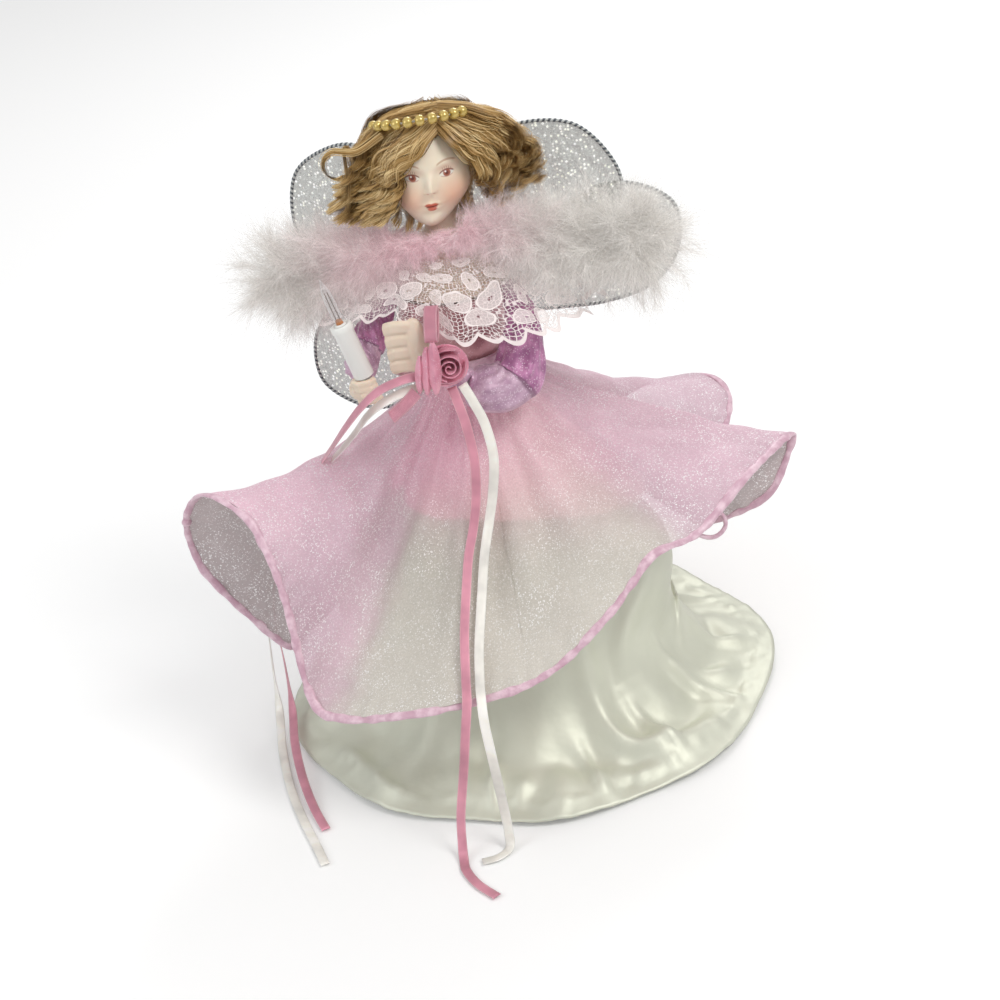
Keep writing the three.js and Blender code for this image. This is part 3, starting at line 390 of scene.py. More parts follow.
floorFinish, tree, inputs = newFinish("floor", (0.86, 0.86, 0.86, 1.0), 0.9)
rays = addNode(tree, "LightPath").outputs
inputs["Emission Color"].default_value = (1.0, 1.0, 1.0, 1.0)
plug(calc("MULTIPLY", rays["Is Camera Ray"], 0.16), inputs["Emission Strength"])
floorMesh = bmesh.new()
bmesh.ops.create_grid(floorMesh, x_segments=1, y_segments=1, size=6.0)
floorData = bpy.data.meshes.new("floor")
floorMesh.to_mesh(floorData)
floorMesh.free()
floorData.materials.append(floorFinish)
floor = bpy.data.objects.new("floor", floorData)
scene.collection.objects.link(floor)
lamps = [
    dict(name="key", place=(0.75, -0.75, 1.3), size=0.6, power=9.8, color=(1.0, 0.985, 0.96)),
    dict(name="rim", place=(0.35, 0.95, 0.95), size=0.6, power=4.5, color=(1.0, 1.0, 1.0)),
    dict(name="fill", place=(-1.1, -0.5, 0.8), size=0.9, power=4.0, color=(0.96, 0.98, 1.0)),
]
lampAim = 0.12  # height that the lamps point at, in metres
for plan in lamps:
    glow = bpy.data.lights.new(plan["name"], "AREA")
    glow.shape = "DISK"
    glow.size = plan["size"]
    glow.energy = plan["power"]
    glow.color = plan["color"]
    holder = bpy.data.objects.new(plan["name"], glow)
    holder.location = turned(plan["place"], dressTurn)
    aimed = holder.location - Vector((0, 0, lampAim))
    holder.rotation_euler = aimed.to_track_quat("Z", "Y").to_euler()
    scene.collection.objects.link(holder)
print("stage: camera and light made")


# Ribbon finish: fine ribs across, woven edges, and painted sheen: strong light and dark patches in the
# colour.
def ribbonFinish(name, color, edge):
    sheen = {"Sheen Weight": 0.25, "Sheen Roughness": 0.4, "Metallic": 0.25}
    finish, tree, inputs = newFinish(name, color, 0.34, sheen)
    flat = clothAxes(tree)
    border = ramp(calc("ABSOLUTE", calc("SUBTRACT", flat[1], 0.5)), 0.36, 0.46)
    plain = mixColors(border, color, edge)
    plug(shadeBy(plain, mottle(places(tree), 55.0, 1.1)), inputs["Base Color"])
    ribs = useGroup(weaveGroup, {"Vector": clothCoords(tree, 320.0, 4.0), "Pitch": 0.55})["Height"]
    bump(inputs, calc("ADD", ribs, calc("MULTIPLY", border, 1.5)), 0.06)
    return finish


roseRibbon = ribbonFinish("rose ribbon", tint(222, 152, 170), tint(236, 180, 192))
creamRibbon = ribbonFinish("cream ribbon", tint(250, 246, 238), tint(254, 251, 245))


def ribbonMesh(route, width, columns, rows, curl=0.25):
    path = smoothCurve(route, columns + 1)
    way = unit(np.gradient(path, axis=0))
    rise = smoothStep(path[:, 2], 4, 20)[:, None]
    face = unit(path * [1, 1, 0]) * rise + [0, 0, 1]
    across = unit(np.cross(way, face))
    normal = np.cross(across, way)

    def surface(u, v):
        w = (v - 0.5)[:, None]
        cup = curl * (0.25 - w**2) * 4
        return along(path, u) + along(across, u) * w * width + along(normal, u) * cup

    return clothMesh(columns, rows, surface, turn=dressTurn, flip=True), path


ribbon = dict(width=4.0, thick=0.35)
streamers = [
    dict(name="streamer_front_rose", finish=roseRibbon, slot="rose_ribbon", length=0.2585,
         route=[(-9.5, -50.5, 182.1), (-8, -53, 175), (-6.5, -55, 165), (-6, -55.5, 150), (-8, -56.5, 134),
                (-11.5, -59, 121), (-16, -65.5, 110.5), (-20, -76, 98.5), (-23.5, -87, 87), (-26, -99, 75.5),
                (-27.5, -109, 68.5), (-30, -115, 60), (-34, -117, 42), (-39, -117, 20), (-41, -119, 6),
                (-41.5, -124, 1.4), (-41, -131, 1.2), (-37, -141, 1.2), (-30, -151, 1.2)]),
    dict(name="streamer_front_cream", finish=creamRibbon, slot="cream_ribbon", length=0.2395,
         route=[(-5, -50.5, 182.5), (-2, -53, 175), (1, -55, 165), (2, -56, 150), (-1, -57, 134),
                (-5, -59.5, 121.5), (-9.5, -66.5, 110), (-13.5, -77, 98), (-18, -90, 84.5),
                (-20.5, -101, 74.5), (-21.5, -109, 68.5), (-22, -115, 60), (-21.5, -118, 42), (-21, -118, 20),
                (-21, -119, 7), (-22, -122, 1.6), (-27, -126, 1.2), (-34, -127, 1.2)]),
    dict(name="streamer_side_rose", finish=roseRibbon, slot="rose_ribbon", length=0.327,
         route=[(-19.8, -50.2, 189), (-27, -51.5, 190), (-38, -52, 187.5), (-47, -48.5, 180), (-56, -41, 168),
                (-63, -31, 156), (-69, -18, 144), (-75, -2, 130), (-81, 10, 115), (-90, 15, 99),
                (-101, 16, 81), (-109, 13, 58), (-110, 8, 30), (-110.5, -2, 11), (-110.5, -24, 7),
                (-108, -48, 5), (-104, -68, 2.4), (-99, -85, 1.2)]),
    dict(name="streamer_side_cream", finish=creamRibbon, slot="cream_ribbon", length=0.36,
         route=[(-16.8, -50.2, 183.9), (-26, -51, 184.5), (-37, -50, 181), (-45.5, -44.5, 173.5),
                (-53, -37, 162.5), (-60, -28, 152), (-66, -15, 141), (-72, 1, 127), (-78, 13, 111),
                (-88, 20, 96), (-101, 22, 80), (-112, 21, 58), (-116, 14, 30), (-117, 2, 9), (-117, -22, 2.4),
                (-114, -50, 1.4), (-109, -74, 1.2), (-104, -93, 1.2), (-100, -109, 1.2)]),
]
for plan in streamers:
    name = plan["name"]
    made, path = ribbonMesh(plan["route"], ribbon["width"], 150, 6)
    piece = makePiece(name + "_ribbon", made, plan["finish"], plan["slot"], name, thick=ribbon["thick"])
    points = turned(path, dressTurn) * mm
    reach = np.linalg.norm(np.diff(points, axis=0), axis=1).sum()
    print("stage:", name, round(reach, 4))

# Underskirt: satin, full to a break and then spread in folds over the floor.
waistLevel = 168.0
underskirt = dict(columns=350, rows=120, hem=9.0, fullness=9.0, lowest=0.6)
cone = dict(height=160.0, foot=46.0, taper=33.0)  # the card cone underneath
knots = [(15, waistLevel - 2)]
for share, flare in [(0.94, 2.4), (0.74, 3.2), (0.53, 6), (0.31, 12), (0.17, 20), (0.08, 32)]:
    full = underskirt["fullness"] * math.sin(math.pi * min(share / 0.94, 1.0))
    knots.append((cone["foot"] - cone["taper"] * share + flare + full, share * cone["height"]))
skirtProfile = smoothCurve([*knots, (91, 6.6), (110, 2)], 400)
skirtLength = np.linalg.norm(np.diff(skirtProfile, axis=0), axis=1).sum()
creases = [  # each seen from above, as a line over the spread skirt
    dict(height=5.0, spread=6.0,
         line=[(15, -34), (19, -45.7), (23, -56.7), (28, -72), (40, -79.5), (62, -75), (86, -56)]),
    dict(height=-4.0, spread=9.0, line=[(28, -38), (35, -56), (52, -64), (78, -52)]),
    dict(height=5.5, spread=4.5, line=[(56, 30), (64, 0), (67, -26)]),
    dict(height=4.5, spread=4.5, line=[(32, -20), (39, -31), (37, -50)]),
    dict(height=-3.5, spread=8.0, line=[(80, 24), (80, -6), (94, -26)]),
    dict(height=3.5, spread=6.0, line=[(58, -38), (76, -38), (96, -28)]),
    dict(height=-3.5, spread=8.0, line=[(2, -62), (8, -80), (30, -90)]),
    dict(height=3.2, spread=5.0, line=[(24, -92), (40, -92), (56, -84)]),
    dict(height=2.6, spread=3.4, line=[(46, -80), (52, -90), (50, -98)]),
    dict(height=3.5, spread=5.0, line=[(-94, -30), (-80, -60), (-58, -90)]),
    dict(height=3.4, spread=7.0, line=[(-24, -46), (-34, -68), (-38, -94)]),
    dict(height=2.4, spread=3.6, line=[(-8, -88), (-14, -96), (-18, -104)]),
    dict(height=4.2, spread=3.6, line=[(48, -34), (68, -44), (94, -52)]),
    dict(height=3.6, spread=3.4, line=[(36, -56), (50, -74), (62, -94)]),
    dict(height=4.0, spread=3.6, line=[(58, -12), (80, -14), (104, -10)]),
    dict(height=3.4, spread=3.4, line=[(14, -76), (20, -92), (26, -106)]),
    dict(height=3.2, spread=3.4, line=[(-22, -78), (-26, -94), (-28, -106)]),
    dict(height=3.4, spread=3.6, line=[(54, 22), (76, 30), (98, 34)]),
]


def skirtFlat(points):
    radius = np.hypot(points[:, 0], points[:, 1])
    share = np.interp(radius, skirtProfile[:, 0], np.linspace(0, 1, len(skirtProfile)))
    turn = np.arctan2(-points[:, 0], -points[:, 1])
    return np.stack([turn, share, 0 * turn], -1)


def creaseRise(angle, v):
    total = 0
    radius = along(skirtProfile, v)[:, :1]
    for plan in creases:
        crease = smoothCurve(skirtFlat(np.array(plan["line"], float)), 160)
        roundWay = turnGap(angle[:, None], crease[:, 0]) * radius
        downWay = (v[:, None] - crease[:, 1]) * skirtLength
        gaps = np.hypot(roundWay, downWay)
        nearest = gaps.argmin(1)
        fade = np.sin(np.pi * np.clip(nearest / 159, 0.04, 0.96)) ** 0.7
        total = total + 1.3 * plan["height"] * fade * np.exp(-((gaps.min(1) / plan["spread"]) ** 2) / 0.8)
    return total


def underskirtSurface(u, v):
    angle = 2 * math.pi * u
    radius, level = along(skirtProfile, v).T
    opened = smoothStep(v, 0.35, 0.85)
    fold = 0.7 * np.cos(8 * angle + 0.8 * np.sin(2 * angle)) + 0.3 * np.cos(5 * angle + 1.0)
    swing = 3.5 * np.cos(2 * (angle + 0.87)) * opened
    pushed = 34 * hill(turnGap(angle, 1.22), 0, 0.62) * hill(v, 0.46, 0.22)
    pushed = pushed + 26 * hill(turnGap(angle, -1.25), 0, 0.6) * hill(v, 0.46, 0.2)
    gathers = 0.8 * np.cos(17 * angle + 1.5 * np.sin(3 * angle) + 2 * v)
    rise = opened * (1 - 0.75 * smoothStep(v, 0.78, 1)) * (3.2 * (fold + 1) + gathers)
    flat = ringPoints(radius + swing + pushed + 2.4 * opened * fold, angle, level + rise)
    hemAt = 1 - underskirt["hem"] / skirtLength
    edge = smoothStep(v, hemAt - 0.03, hemAt + 0.01)
    rough = ripples(flat[:, :2], 12, 9, 9)
    pucker = 0.16 * rough * edge + 0.4 * hill(v, hemAt, 0.011) * (1 + 0.6 * rough)
    buckle = 1.1 * ripples(flat[:, :2], 5, 52)
    buckle = buckle + 0.5 * ripples(flat[:, :2], 9, 24, 9) * smoothStep(v, 0.6, 0.95)
    near = 1 - smoothStep(v, 0.9, 1.0) * 0.7
    extra = (creaseRise(angle, v) + buckle) * near * smoothStep(v, 0.38, 0.6) + pucker
    steep = 1 - smoothStep(v, 0.5, 0.8)
    moved = flat + extra[:, None] * unit(ringPoints(steep, angle, 0.9 + 0 * angle))
    moved[:, 2] = np.maximum(moved[:, 2], underskirt["lowest"])
    return moved


ivory = tint(222, 224, 208)
shine = {"Metallic": 0.36, "Sheen Weight": 0.15, "Specular IOR Level": 0.6}
ivorySatin, tree, inputs = newFinish("ivory satin", ivory, 0.52, shine)
place = places(tree)
plug(shadeBy(ivory, mottle(place, 28.0, 0.3)), inputs["Base Color"])
level = spread(place, (1.0, 1.0, 0.0))
reach = calc("MULTIPLY", vectorCalc("LENGTH", level), 9.0)
drawnOut = addNode(tree, "CombineXYZ", {2: reach}).outputs[0]
radial = vectorCalc("ADD", vectorCalc("NORMALIZE", level), drawnOut)
tucks = noise(radial, 2.6, 1.0, 0.4)
dimples = noise(place, 52.0, 3.0, 0.5)
bump(inputs, calc("MULTIPLY_ADD", dimples, 0.25, tucks), 4.5, 0.8)
made = clothMesh(underskirt["columns"], underskirt["rows"], underskirtSurface, closed=True, turn=dressTurn)
skirtPiece = makePiece("underskirt_satin", made, ivorySatin, "ivory_satin", "underskirt", thick=0.5)
print("stage: underskirt", round(clothArea(skirtPiece), 5))

# Pink layer under the sheer overskirt, thinning to its edge.
peplum = dict(columns=240, rows=50, waist=16.2, reach=45.0, drop=51.0)


def peplumSurface(u, v):
    angle = 2 * math.pi * u
    aside = hill(turnGap(angle, -0.9), 0, 0.6)
    wave = 1.3 * v * np.cos(7 * angle + 1.0) + 0.5 * v * np.cos(19 * angle + 2 * np.sin(3 * angle))
    flare = (peplum["reach"] - peplum["waist"]) * v**1.35
    drop = peplum["drop"] * v + 8 * v * aside + 2.0 * v * np.sin(3 * angle + 0.5)
    return ringPoints(peplum["waist"] + flare + wave + 28 * v**1.5 * aside, angle, waistLevel - drop)


pinkLayer, tree, inputs = newFinish("pink layer", tint(224, 152, 172), 0.55, {"Sheen Weight": 0.3})
sweep = vectorCalc("DOT_PRODUCT", places(tree), (14.0, -4.6, 0.0))
pink = mixColors(ramp(sweep, 0.02, 0.42), tint(250, 172, 200), tint(254, 222, 216))
plug(pink, inputs["Base Color"])
edgeAt = clothAxes(tree)[1]
plug(ramp(edgeAt, 0.6, 1.0, 0.92, 0.62), inputs["Alpha"])
# Painted light: a faint pink glow brightens the layer where it lies in shade near the waist.
inputs["Emission Color"].default_value = tint(250, 190, 206)
inputs["Emission Strength"].default_value = 0.12
made = clothMesh(peplum["columns"], peplum["rows"], peplumSurface, closed=True, turn=dressTurn)
peplumPiece = makePiece("peplum_cloth", made, pinkLayer, "pink_layer", "peplum", thick=0.3)
print("stage: peplum", round(clothArea(peplumPiece), 5))

# Sheer overskirt, flung out to a funnel at each side.
hemKnots = np.array([  # x, y and drop below the waist
    (3, -104, 99), (-14, -106, 101), (-35, -105, 103), (-56, -98, 107), (-77, -85, 112), (-89, -72, 109),
    (-92, -55, 68), (-98, -40, 42), (-107, -30, 33), (-120, -15, 33), (-131, -6, 49), (-131, -4, 70),
    (-124, -8, 84), (-112, -16, 98), (-98, -24, 110), (-88, -12, 106), (-92, 20, 94), (-96, 48, 82),
    (-84, 76, 84), (-56, 94, 96), (-22, 100, 102), (16, 100, 100), (52, 96, 88), (84, 88, 74),
    (110, 74, 67), (118, 60, 76), (104, 34, 90), (90, 8, 98), (88, -12, 94), (104, -19, 89),
    (122, -19, 80), (134, -14, 58), (120, -32, 55), (104, -48, 58), (82, -64, 68), (62, -77, 66),
    (50, -86, 73), (36, -95, 82), (18, -101, 93),
], float)
hemKnots[:, 2] = waistLevel - hemKnots[:, 2]
hemLine = smoothCurve(hemKnots, 1200, closed=True)
overskirt = dict(columns=560, rows=90, band=4.5, waist=17.4, top=171.0)


def drape(u, v):
    u = np.mod(u, 1.0)
    angle = 2 * math.pi * u
    hem = along(hemLine, u)
    waist = ringPoints(overskirt["waist"], angle, np.full_like(u, overskirt["top"]))
    dip = 9 * hill(turnGap(np.arctan2(-hem[:, 0], -hem[:, 1]), 1.5), 0, 0.6)
    sag = (3 + dip + 0.1 * np.maximum(130 - hem[:, 2], 0))[:, None] * [0, 0, 1]
    upper = waist + (hem - waist) * 0.28 - 1.3 * sag
    lower = waist + (hem - waist) * 0.68 - 1.1 * sag
    w, v = (1 - v)[:, None], v[:, None]
    return waist * w**3 + upper * 3 * w * w * v + lower * 3 * w * v * v + hem * v**3


def hemFrame(u):
    edge = drape(u, np.ones_like(u))
    way = unit(drape(u + 1e-3, np.ones_like(u)) - drape(u - 1e-3, np.ones_like(u)))
    out = edge - drape(u, np.full_like(u, 0.96))
    out = unit(out - way * (out * way).sum(-1, keepdims=True))
    return edge, way, out


u = np.linspace(0, 1, 76, endpoint=False)
edge, way, out = hemFrame(u)
rim = turned(edge + out * (overskirt["band"] + 0.3), dressTurn)
hemShift = turned(-(rim.min(0) + rim.max(0)) / 2 * [1, 1, 0], -dressTurn)
hemLine = hemLine + hemShift


def overskirtSurface(u, v):
    flat = drape(u, v)
    angle = 2 * math.pi * u
    way = unit(drape(u + 1e-3, v) - drape(u - 1e-3, v))
    down = unit(drape(u, np.minimum(v + 0.01, 1)) - drape(u, np.maximum(v - 0.01, 0)))
    normal = unit(np.cross(down, way))
    gathers = 0.55 * np.cos(44 * angle + 2 * np.sin(5 * angle)) * hill(v, 0.14, 0.16)
    folds = 2.3 * np.sin(19 * angle + 1.5 * np.sin(4 * angle)) * np.sin(np.pi * v) ** 1.5
    fine = 0.5 * ripples(np.stack([u * 500, v * 130], -1), 21, 26, 9) * np.sin(np.pi * v)
    frill = 0.5 * np.sin(75 * angle + 3 * np.sin(13 * angle)) * smoothStep(v, 0.88, 1)
    return flat + normal * (1.5 * (1 - smoothStep(v, 0.8, 1)) + gathers + folds + fine + frill)[:, None]


def organzaFinish(name, pale, deep, side, veil):
    finish, tree, inputs = newFinish(name, pale, 0.5, {"Sheen Weight": 0.25, "Sheen Roughness": 0.3})
    place = places(tree)
    cloth = clothCoords(tree, 500.0, 130.0)
    near = scatter(spread(cloth, (1.0, 0.55, 1.0)), 1.9, 0.22)["Mask"]
    small = scatter(place, 1900.0, 0.3)["Mask"]
    clouds = noise(place, 60.0, 3.0)
    cloudy = ramp(clouds, 0.3, 0.65, 0.35, 1.0)
    # Painted glints: glitter flecks whitened in the colour, thinned by a cloudy noise.
    sparkle = calc("MULTIPLY", calc("MAXIMUM", near, small), cloudy)
    level = axes(place)[2]
    patches = noise(place, 26.0, 4.0)
    parts = axes(unturned(place, dressTurn))
    bearing = calc("ARCTAN2", parts[0], calc("MULTIPLY", parts[1], -1.0))
    bearing = calc("ADD", bearing, calc("MULTIPLY_ADD", clouds, 0.24, -0.12))
    aside = calc("MAXIMUM", ramp(bearing, -0.68, -1.0), ramp(bearing, 0.66, 1.0))
    body = mixColors(ramp(level, 0.1, 0.15), mixColors(aside, pale, side), deep)
    # Painted shade: the inner side of the cloth is turned toward a grey.
    inside = addNode(tree, "NewGeometry").outputs["Backfacing"]
    body = mixColors(calc("MULTIPLY", inside, 0.75), body, tint(172, 162, 157))
    body = shadeBy(body, ramp(patches, 0.3, 0.7, 0.9, 1.06))
    plug(mixColors(sparkle, body, (1.0, 0.98, 0.99, 1.0)), inputs["Base Color"])
    weave = noise(place, 1500.0, 1.0)
    edgeAt = clothAxes(tree)[1]
    slant = addNode(tree, "LayerWeight", {"Blend": 0.5}).outputs["Facing"]
    veiled = ramp(edgeAt, 0.3, 0.85, veil, veil + 0.2)
    veiled = calc("ADD", veiled, ramp(slant, 0.45, 1.0, 0.0, 0.25))
    cover = calc("MULTIPLY_ADD", weave, 0.3, calc("MULTIPLY_ADD", aside, 0.12, veiled))
    plug(calc("MAXIMUM", cover, calc("MULTIPLY", sparkle, 0.85)), inputs["Alpha"])
    bump(inputs, patches, 0.4, 0.5)
    return finish


sheerPink = organzaFinish("sheer pink", tint(214, 207, 198), tint(240, 200, 216), tint(212, 180, 194), 0.43)
made = clothMesh(overskirt["columns"], overskirt["rows"], overskirtSurface, closed=True, turn=dressTurn)
overPiece = makePiece("overskirt_sheer", made, sheerPink, "sheer_pink", "overskirt")
print("stage: overskirt", round(clothArea(overPiece), 5))

pinkBinding, tree, inputs = newFinish("pink binding", tint(220, 178, 194), 0.36, {"Sheen Weight": 0.4})
wrinkle = noise(places(tree), 190.0, 4.0, 0.6)
# Painted highlight and shade: the colour follows the wrinkle noise of the bump, lighter on its crests.
pink = mixColors(ramp(wrinkle, 0.35, 0.7), tint(206, 164, 182), tint(238, 208, 220))
plug(pink, inputs["Base Color"])
bump(inputs, wrinkle, 0.5)


def bindingSurface(u, v):
    edge, way, out = hemFrame(u)
    normal = unit(np.cross(way, out))
    angle = 2 * math.pi * v
    wrinkle = 0.1 * ripples(edge, 4, 7, 7) + 0.12 * np.sin(2 * math.pi * 23 * u)
    across = 1.75 * np.cos(angle) * (1 + wrinkle)
    deep = 0.8 * np.sin(angle) * (1 + wrinkle)
    sway = 0.25 * ripples(edge, 8, 30, 6)
    return edge + out * (1.0 + across)[:, None] + normal * (deep + sway)[:, None]


made = clothMesh(1100, 12, bindingSurface, closed=True, turn=dressTurn, flip=True)
bindingPiece = makePiece("overskirt_binding_band", made, pinkBinding, "pink_binding", "overskirt_binding")


# Copies of solids that only need a finish.
def nodeCopy(node, keep=None, bevel=0.0, detail=0, relax=0):
    bm = bmesh.new()
    bm.from_mesh(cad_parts[node].data)
    bmesh.ops.remove_doubles(bm, verts=bm.verts, dist=1e-6)
    if keep:
        gone = [vert for vert in bm.verts if not keep(vert.co / mm)]
        bmesh.ops.delete(bm, geom=gone, context="VERTS")
    if bevel:
        edges = [e for e in bm.edges if len(e.link_faces) == 2 and e.calc_face_angle() > 0.5]
        bmesh.ops.bevel(bm, geom=edges, offset=bevel * mm, segments=2, profile=0.5, affect="EDGES",
                        material=-1)
    if detail:
        bmesh.ops.subdivide_edges(bm, edges=bm.edges, cuts=detail, use_grid_fill=True)
    for _ in range(relax):
        bmesh.ops.smooth_vert(bm, verts=bm.verts, factor=0.5, use_axis_x=True, use_axis_y=True,
                              use_axis_z=True)
    return bm


def spunMesh(profile, steps, place):
    bm = bmesh.new()
    verts = [bm.verts.new((r * mm, 0, z * mm)) for r, z in profile]
    edges = [bm.edges.new(pair) for pair in zip(verts, verts[1:])]
    bmesh.ops.spin(bm, geom=[*verts, *edges], cent=(0, 0, 0), axis=(0, 0, 1), dvec=(0, 0, 0),
                   angle=2 * math.pi, steps=steps, use_merge=True)
    bmesh.ops.remove_doubles(bm, verts=bm.verts, dist=1e-7)
    bmesh.ops.recalc_face_normals(bm, faces=bm.faces)
    bmesh.ops.transform(bm, matrix=place, verts=bm.verts)
    return bm


def placing(point, degrees=0.0, axis="Z"):
    return Matrix.Translation(Vector(point) * mm) @ Matrix.Rotation(math.radians(degrees), 4, axis)


# Ends of the binding: a knot and a loop.
knotOutline = [(2.3 * math.cos(a) + 0.01, 2.0 * math.sin(a)) for a in np.linspace(-1.57, 1.57, 9)]
knotPlace = turned(np.array([-132.0, -6.0, 118.5]) + hemShift, dressTurn)
knotBall = spunMesh(knotOutline, 14, placing(knotPlace))
knotPiece = makePiece("binding_knot", knotBall, pinkBinding, "pink_binding")
loopLine = [(80, -60, 99), (86.9, -58, 93), (92, -58, 92.8), (95.9, -57, 96.4), (95, -55, 101),
            (90.5, -56, 102), (85, -58, 100)]
loopLine = turned(smoothCurve(loopLine, 60) + hemShift, dressTurn)
loopPiece = makePiece("binding_loop", tubeMesh(60, 10, loopLine, 1.0), pinkBinding, "pink_binding")
print("stage: binding made")

# Head: a porcelain ball with a modelled, painted face.
head = dict(half=(16.6, 20.5, 22.0), drop=25.5, lean=0.1, around=240, down=170)
bm = bmesh.new()
bmesh.ops.create_uvsphere(bm, u_segments=head["around"], v_segments=head["down"], radius=1.0)
way = np.array([vert.co for vert in bm.verts])
low = np.maximum(-way[:, 2], 0)
taper = 1 - 0.2 * low**2
x = way[:, 0] * head["half"][0] * taper
z = way[:, 2] * np.where(way[:, 2] > 0, head["half"][2], head["drop"])
y = way[:, 1] * head["half"][1] * taper - 6.0 * low**2
side = np.abs(x)
front = smoothStep(-way[:, 1], 0.05, 0.5)
noseRun = smoothStep(-z, -3.5, 4.6) * (1 - smoothStep(-z, 5.2, 7.2))
face = 3.4 * hill(x, 0, 1.9) * noseRun
features = [  # height, place and spread from the middle line, level and its spread
    (0.9, 2.1, 1.0, -5.6, 1.1),  # nostrils
    (-1.7, 6.6, 3.6, 0.8, 2.5),  # eye sockets
    (1.0, 7.2, 2.6, 0.0, 1.7),  # eyes
    (0.5, 7.0, 5.0, 5.0, 2.0),  # brows
    (1.6, 8.6, 4.6, -9.6, 5.0),  # cheeks
    (1.1, 0.0, 3.2, -12.0, 0.9),  # upper lip
    (1.3, 0.0, 2.4, -14.2, 1.1),  # lower lip
    (-0.8, 0.0, 3.2, -13.0, 0.45),  # line of the mouth
    (-0.5, 0.0, 0.8, -9.8, 1.2),  # groove over the lip
    (-0.6, 0.0, 3.6, -16.6, 1.2),  # dip over the chin
    (2.0, 0.0, 5.4, -21.0, 3.2),  # chin
]
for height, aside, wide, level, tall in features:
    face += height * hill(side, aside, wide) * hill(z, level, tall)
full = 2.6 * smoothStep(x, 4, 14) - 0.6 * smoothStep(-x, 4, 14)
x = x + full * hill(z, -9, 12) - 0.4 + head["lean"] * np.minimum(z, 0)
spots = turned(np.stack([x, y - face * front, z], -1), headTurn) + headCentre
for vert, place in zip(bm.verts, spots * mm):
    vert.co = place


# Paint on the front of the head: a round spot and a bowed line.
def onFront(mask, point):
    return calc("MULTIPLY", mask, ramp(axes(point)[1], -5.0, -9.0))


spotGroup, source, target = newGroup(
    "paint spot", dict(Point=(0, 0, 0), Centre=(0, 0, 0), Size=(1, 1, 1), Soft=0.1), ["Mask"])
offset = vectorCalc("SUBTRACT", source["Point"], source["Centre"])
offset = vectorCalc("DIVIDE", offset, source["Size"])
gap = vectorCalc("LENGTH", spread(offset, (1, 0, 1)))
outer, inner = [calc(operation, 1.0, source["Soft"]) for operation in ("ADD", "SUBTRACT")]
plug(onFront(ramp(gap, outer, inner), source["Point"]), target["Mask"])

arcGroup, source, target = newGroup(
    "paint arc", dict(Point=(0, 0, 0), Centre=(0, 0, 0), Width=3.0, Bend=1.0, Thick=0.3), ["Mask"])
parts = axes(vectorCalc("SUBTRACT", source["Point"], source["Centre"]))
share = calc("ABSOLUTE", calc("DIVIDE", parts[0], source["Width"]))
bow = calc("MULTIPLY", calc("MULTIPLY", share, share), source["Bend"])
gap = calc("ABSOLUTE", calc("ADD", parts[2], bow))
gap = calc("DIVIDE", gap, source["Thick"])
mask = calc("MULTIPLY", ramp(gap, 1.4, 0.5), ramp(share, 1.05, 0.75))
plug(onFront(mask, source["Point"]), target["Mask"])


